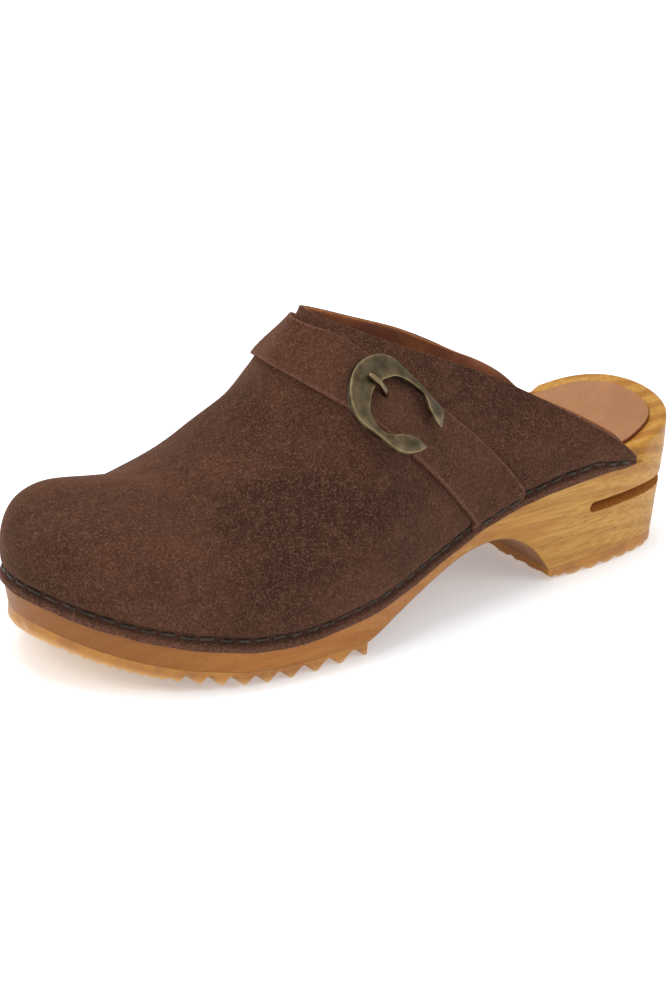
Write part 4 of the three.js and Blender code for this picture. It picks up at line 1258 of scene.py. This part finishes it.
def make_heel_tread():
    def rise(x, y):
        share = lug_share(x + 0.7 * wobble(11, x, y, 20), HEEL_LUG_AT, HEEL_LUG_PITCH, HEEL_LUG_SQUEEZE)
        bumps = (1 - np.sqrt(1 - (0.96 * share) ** 2)) * (HEEL_LUG_DEPTH + 0.4 * wobble(12, x, y, 13))
        nubs = 1.5 * (1 + wobble(13, x, y, 3.8)) * smooth_step((x - BREAST_AT + 7) / 5)
        return bumps + nubs + 0.08 * (1 + wobble(14, x, y, 3.1))

    start = BOTTOM_INSET + TREAD_EDGE_INSET + 0.15
    return make_tread("rubber_tread_heel", "heel_tread", start, BREAST_AT - GAP, rise)


# Buckle: a flat cast bar bent into an open ring, with raised arms and leaf-shaped tips
RING_STEPS = 150
RING_SIDES = 24
RING_SQUARENESS = 0.17


def spline(values, count):
    values = np.asarray(values, float)
    padded = np.concatenate([[2 * values[0] - values[1]], values, [2 * values[-1] - values[-2]]])
    t = np.linspace(0, len(values) - 1, count)
    k = np.minimum(t.astype(int), len(values) - 2)
    u = (t - k)[:, None]
    a, b, c, d = padded[k], padded[k + 1], padded[k + 2], padded[k + 3]
    return 0.5 * (2 * b + (c - a) * u + (2 * a - 5 * b + 4 * c - d) * u**2 + (3 * b - a - 3 * c + d) * u**3)


def tube_faces(rows, sides):
    faces = [
        (i * sides + j, i * sides + (j + 1) % sides, (i + 1) * sides + (j + 1) % sides, (i + 1) * sides + j)
        for i in range(rows - 1) for j in range(sides)
    ]
    return faces + [tuple(range(sides))[::-1], tuple(range((rows - 1) * sides, rows * sides))]


def make_ring():
    table = spline([[row.along, row.across, row.lift, row.width] for row in BUCKLE], RING_STEPS) * BUCKLE_RADIUS
    tangent = np.gradient(table[:, :2], axis=0)
    tangent /= np.linalg.norm(tangent, axis=1, keepdims=True)
    aside = np.stack([-tangent[:, 1], tangent[:, 0]], 1)
    turn = np.linspace(0, 2 * np.pi, RING_SIDES, endpoint=False)
    over = np.sign(np.cos(turn)) * np.abs(np.cos(turn)) ** RING_SQUARENESS
    up = np.sign(np.sin(turn)) * np.abs(np.sin(turn)) ** RING_SQUARENESS
    half = np.maximum(table[:, 3], 0.5) / 2
    tip = np.minimum(np.arange(RING_STEPS), np.arange(RING_STEPS)[::-1]) / 9
    thick = BUCKLE_THICKNESS * mix(0.45, 1.0, smooth_step(tip))
    flat = table[:, None, :2] + aside[:, None] * (half[:, None] * over)[..., None]
    crown = 0.12 * (1 - over**2)
    z = BUCKLE_HEIGHT + table[:, None, 2] + thick[:, None] / 2 * (1 + up) + crown * (up > 0)
    z = z - BUCKLE_SAG * (flat**2).sum(-1) / BUCKLE_RADIUS**2
    points = from_buckle(np.concatenate([flat, z[..., None]], -1).reshape(-1, 3))
    piece = new_object("buckle_ring_brass", points, tube_faces(RING_STEPS, RING_SIDES), [BRASS])
    corner = np.tile((2 * np.abs(np.cos(turn) * np.sin(turn))) ** 2 * (np.sin(turn) > -0.2), RING_STEPS)
    near_tip = np.repeat(1 - smooth_step(tip * 0.8), RING_SIDES)
    float_attribute(piece, "worn", clamp01(0.85 * corner + 0.5 * near_tip))
    piece.data.set_sharp_from_angle(angle=math.radians(60))
    return piece


def make_prong():
    on_bar = BUCKLE_HEIGHT + BUCKLE_THICKNESS + GAP - BUCKLE_SAG + PRONG_WIDTH / 2
    strap_top = STRAP_LIFT + STRAP_THICKNESS
    knots = np.array([
        (PRONG_FROM, PRONG_ACROSS, on_bar),
        (mix(PRONG_FROM, HOLE_ALONG, 0.45), PRONG_ACROSS + 0.5, on_bar - 0.1),
        (mix(PRONG_FROM, HOLE_ALONG, 0.93), HOLE_ACROSS - 0.2, strap_top + 0.7),
        (HOLE_ALONG, HOLE_ACROSS, strap_top - 1.2),
    ])
    run = np.concatenate([[0], np.cumsum(np.linalg.norm(np.diff(knots, axis=0), axis=1))])
    path = np.stack([np.interp(np.linspace(0, run[-1], 40), run, knots[:, axis]) for axis in range(3)], 1)
    for _ in range(2):
        path[1:-1] = (path[:-2] + 2 * path[1:-1] + path[2:]) / 4
    tangent = np.gradient(path, axis=0)
    tangent /= np.linalg.norm(tangent, axis=1, keepdims=True)
    up = np.stack([-tangent[:, 2], 0 * tangent[:, 0], tangent[:, 0]], 1)
    end = np.minimum(np.arange(40), np.arange(40)[::-1]) / 5
    radius = PRONG_WIDTH / 2 * np.sqrt(1 - (1 - np.minimum(end + 0.1, 1)) ** 2)
    turn = np.linspace(0, 2 * np.pi, 16, endpoint=False)
    wide = np.sign(np.cos(turn)) * np.abs(np.cos(turn)) ** 0.3
    tall = np.sign(np.sin(turn)) * np.abs(np.sin(turn)) ** 0.3
    ring = wide[:, None] * np.array([0, 1, 0]) * radius[:, None, None]
    ring = ring + tall[:, None] * up[:, None, :] * radius[:, None, None] * 0.8
    points = from_buckle((path[:, None, :] + ring).reshape(-1, 3))
    piece = new_object("buckle_prong_brass", points, tube_faces(40, 16), [BRASS])
    float_attribute(piece, "worn", np.tile(0.7 * clamp01(np.sin(turn)), 40))
    return piece


# Staples: short wires driven through the leather along its groove, each a little uneven
STAPLE_LENGTH = 5.5
STAPLE_PITCH = 6.4
STAPLE_WIDTH = 1.1
STAPLE_HEIGHT = 0.6
STAPLE_ROW = -0.66
STAPLE_SIDES = 8


def staple_spots():
    start = angle_at(CORNER_AT + 3.0)
    turns = np.linspace(start, 2 * np.pi - start, 2400)
    line = upper_point(turns, STAPLE_ROW)
    run = np.concatenate([[0], np.cumsum(np.linalg.norm(np.diff(line, axis=0), axis=1))])
    count = int(run[-1] / STAPLE_PITCH)
    return np.interp((np.arange(count) + 0.5) * run[-1] / count, run, turns)


def on_strap(turn):
    x = place_at(turn)
    return rear_share(0.0) * LENGTH + 1 < x < front_share(0.0) * LENGTH - 1


def make_staples():
    random = np.random.default_rng(7)
    points, faces = [], []
    share = np.linspace(-1, 1, 11)
    bend = np.linspace(0, 2 * np.pi, STAPLE_SIDES, endpoint=False)
    for turn in staple_spots():
        row = STAPLE_ROW + random.uniform(-0.05, 0.05)
        centre = upper_point(turn, row)
        ahead = upper_point(turn + 0.004, row) - upper_point(turn - 0.004, row)
        ahead /= np.linalg.norm(ahead)
        climb = upper_point(turn, row + 0.02) - upper_point(turn, row - 0.02)
        off = np.append(outline_normal(turn), 0.0)
        off -= ahead * (off @ ahead)
        off /= np.linalg.norm(off)
        rise = np.cross(off, ahead)
        rise *= np.sign(rise @ climb)
        skew = random.uniform(-0.09, 0.09)
        ahead, rise = ahead + rise * skew, rise - ahead * skew
        lift = STRAP_THICKNESS + 0.1 if on_strap(turn) else 0.0
        reach = STAPLE_LENGTH / 2 * random.uniform(0.94, 1.05)
        sunk = 0.3 * float(np.exp(-((place_at(turn) - 150) / 38) ** 2)) if turn < np.pi else 0.1
        height = lift + 0.28 + random.uniform(-0.08, 0.1) - sunk - 1.5 * np.abs(share) ** 8
        path = centre + ahead * (share * reach)[:, None] + off * height[:, None]
        ring = rise * (np.cos(bend) * STAPLE_WIDTH / 2)[:, None] + off * (np.sin(bend) * STAPLE_HEIGHT / 2)[:, None]
        first = len(points) * STAPLE_SIDES * len(share)
        points.append((path[:, None, :] + ring).reshape(-1, 3))
        faces += [tuple(first + corner for corner in face) for face in tube_faces(len(share), STAPLE_SIDES)]
    return new_object("staples", np.concatenate(points), faces, [STAPLE])


# Studio: pale floor, wide soft light and the photograph's view of the shoe
LOOK_AT = Vector((0.0742, -0.0306, 0.0151))
CAMERA_DISTANCE = 2.15
CAMERA_AZIMUTH = math.radians(50)
CAMERA_ELEVATION = math.radians(23.5467)
CAMERA_ROLL = math.radians(4.406)
LENS = 235.18
SENSOR = 36


def make_camera():
    level = math.cos(CAMERA_ELEVATION)
    back = Vector((
        level * math.cos(CAMERA_AZIMUTH), level * math.sin(CAMERA_AZIMUTH), math.sin(CAMERA_ELEVATION),
    ))
    right = (-back).cross(Vector((0, 0, 1))).normalized()
    up = right.cross(-back)
    rolled_right = right * math.cos(CAMERA_ROLL) + up * math.sin(CAMERA_ROLL)
    rolled_up = up * math.cos(CAMERA_ROLL) - right * math.sin(CAMERA_ROLL)
    data = bpy.data.cameras.new("camera")
    data.lens = LENS
    data.sensor_fit = "VERTICAL"
    data.sensor_height = SENSOR
    data.clip_start = 0.1
    data.clip_end = 50
    camera = bpy.data.objects.new("camera", data)
    turn = Matrix((rolled_right, rolled_up, back)).transposed().to_4x4()
    camera.matrix_world = Matrix.Translation(LOOK_AT + back * CAMERA_DISTANCE) @ turn
    bpy.context.scene.collection.objects.link(camera)
    bpy.context.scene.camera = camera


def soft_light(name, place, size, energy, colour=(1, 1, 1)):
    data = bpy.data.lights.new(name, "AREA")
    data.shape = "DISK"
    data.size = size
    data.energy = energy
    data.color = colour
    light = bpy.data.objects.new(name, data)
    light.location = place
    light.rotation_euler = (Vector((0.08, 0, 0.04)) - Vector(place)).to_track_quat("-Z", "Y").to_euler()
    bpy.context.scene.collection.objects.link(light)


def make_studio():
    world = bpy.data.worlds.new("studio")
    world.use_nodes = True
    background = world.node_tree.nodes["Background"]
    background.inputs["Color"].default_value = (1, 1, 1, 1)
    background.inputs["Strength"].default_value = 0.68
    bpy.context.scene.world = world
    soft_light("overhead", (0.25, -0.35, 1.9), 1.5, 22)
    soft_light("key", (1.7, 0.1, 1.4), 1.0, 11, (1.0, 0.99, 0.98))
    soft_light("fill", (-0.9, 1.6, 1.2), 1.1, 7, (0.99, 0.995, 1.0))
    bpy.context.scene.view_settings.view_transform = "Standard"
    half = 4.0
    mesh = bpy.data.meshes.new("floor")
    mesh.from_pydata([(-half, -half, 0), (half, -half, 0), (half, half, 0), (-half, half, 0)], [], [(0, 1, 2, 3)])
    mesh.materials.append(FLOOR)
    floor = bpy.data.objects.new("floor", mesh)
    bpy.context.scene.collection.objects.link(floor)


def build():
    dressed = [
        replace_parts(make_upper(), "upper"),
        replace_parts(make_wood(), "wood_sole"),
        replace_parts(make_insole(), "insole"),
        make_forefoot_tread(),
        make_heel_tread(),
        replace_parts(make_strap(), "strap"),
        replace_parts(make_ring(), "buckle_ring"),
        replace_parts(make_prong(), "buckle_prong"),
        make_staples(),
    ]
    for piece in dressed:
        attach(piece, "root")


build()
make_camera()
make_studio()
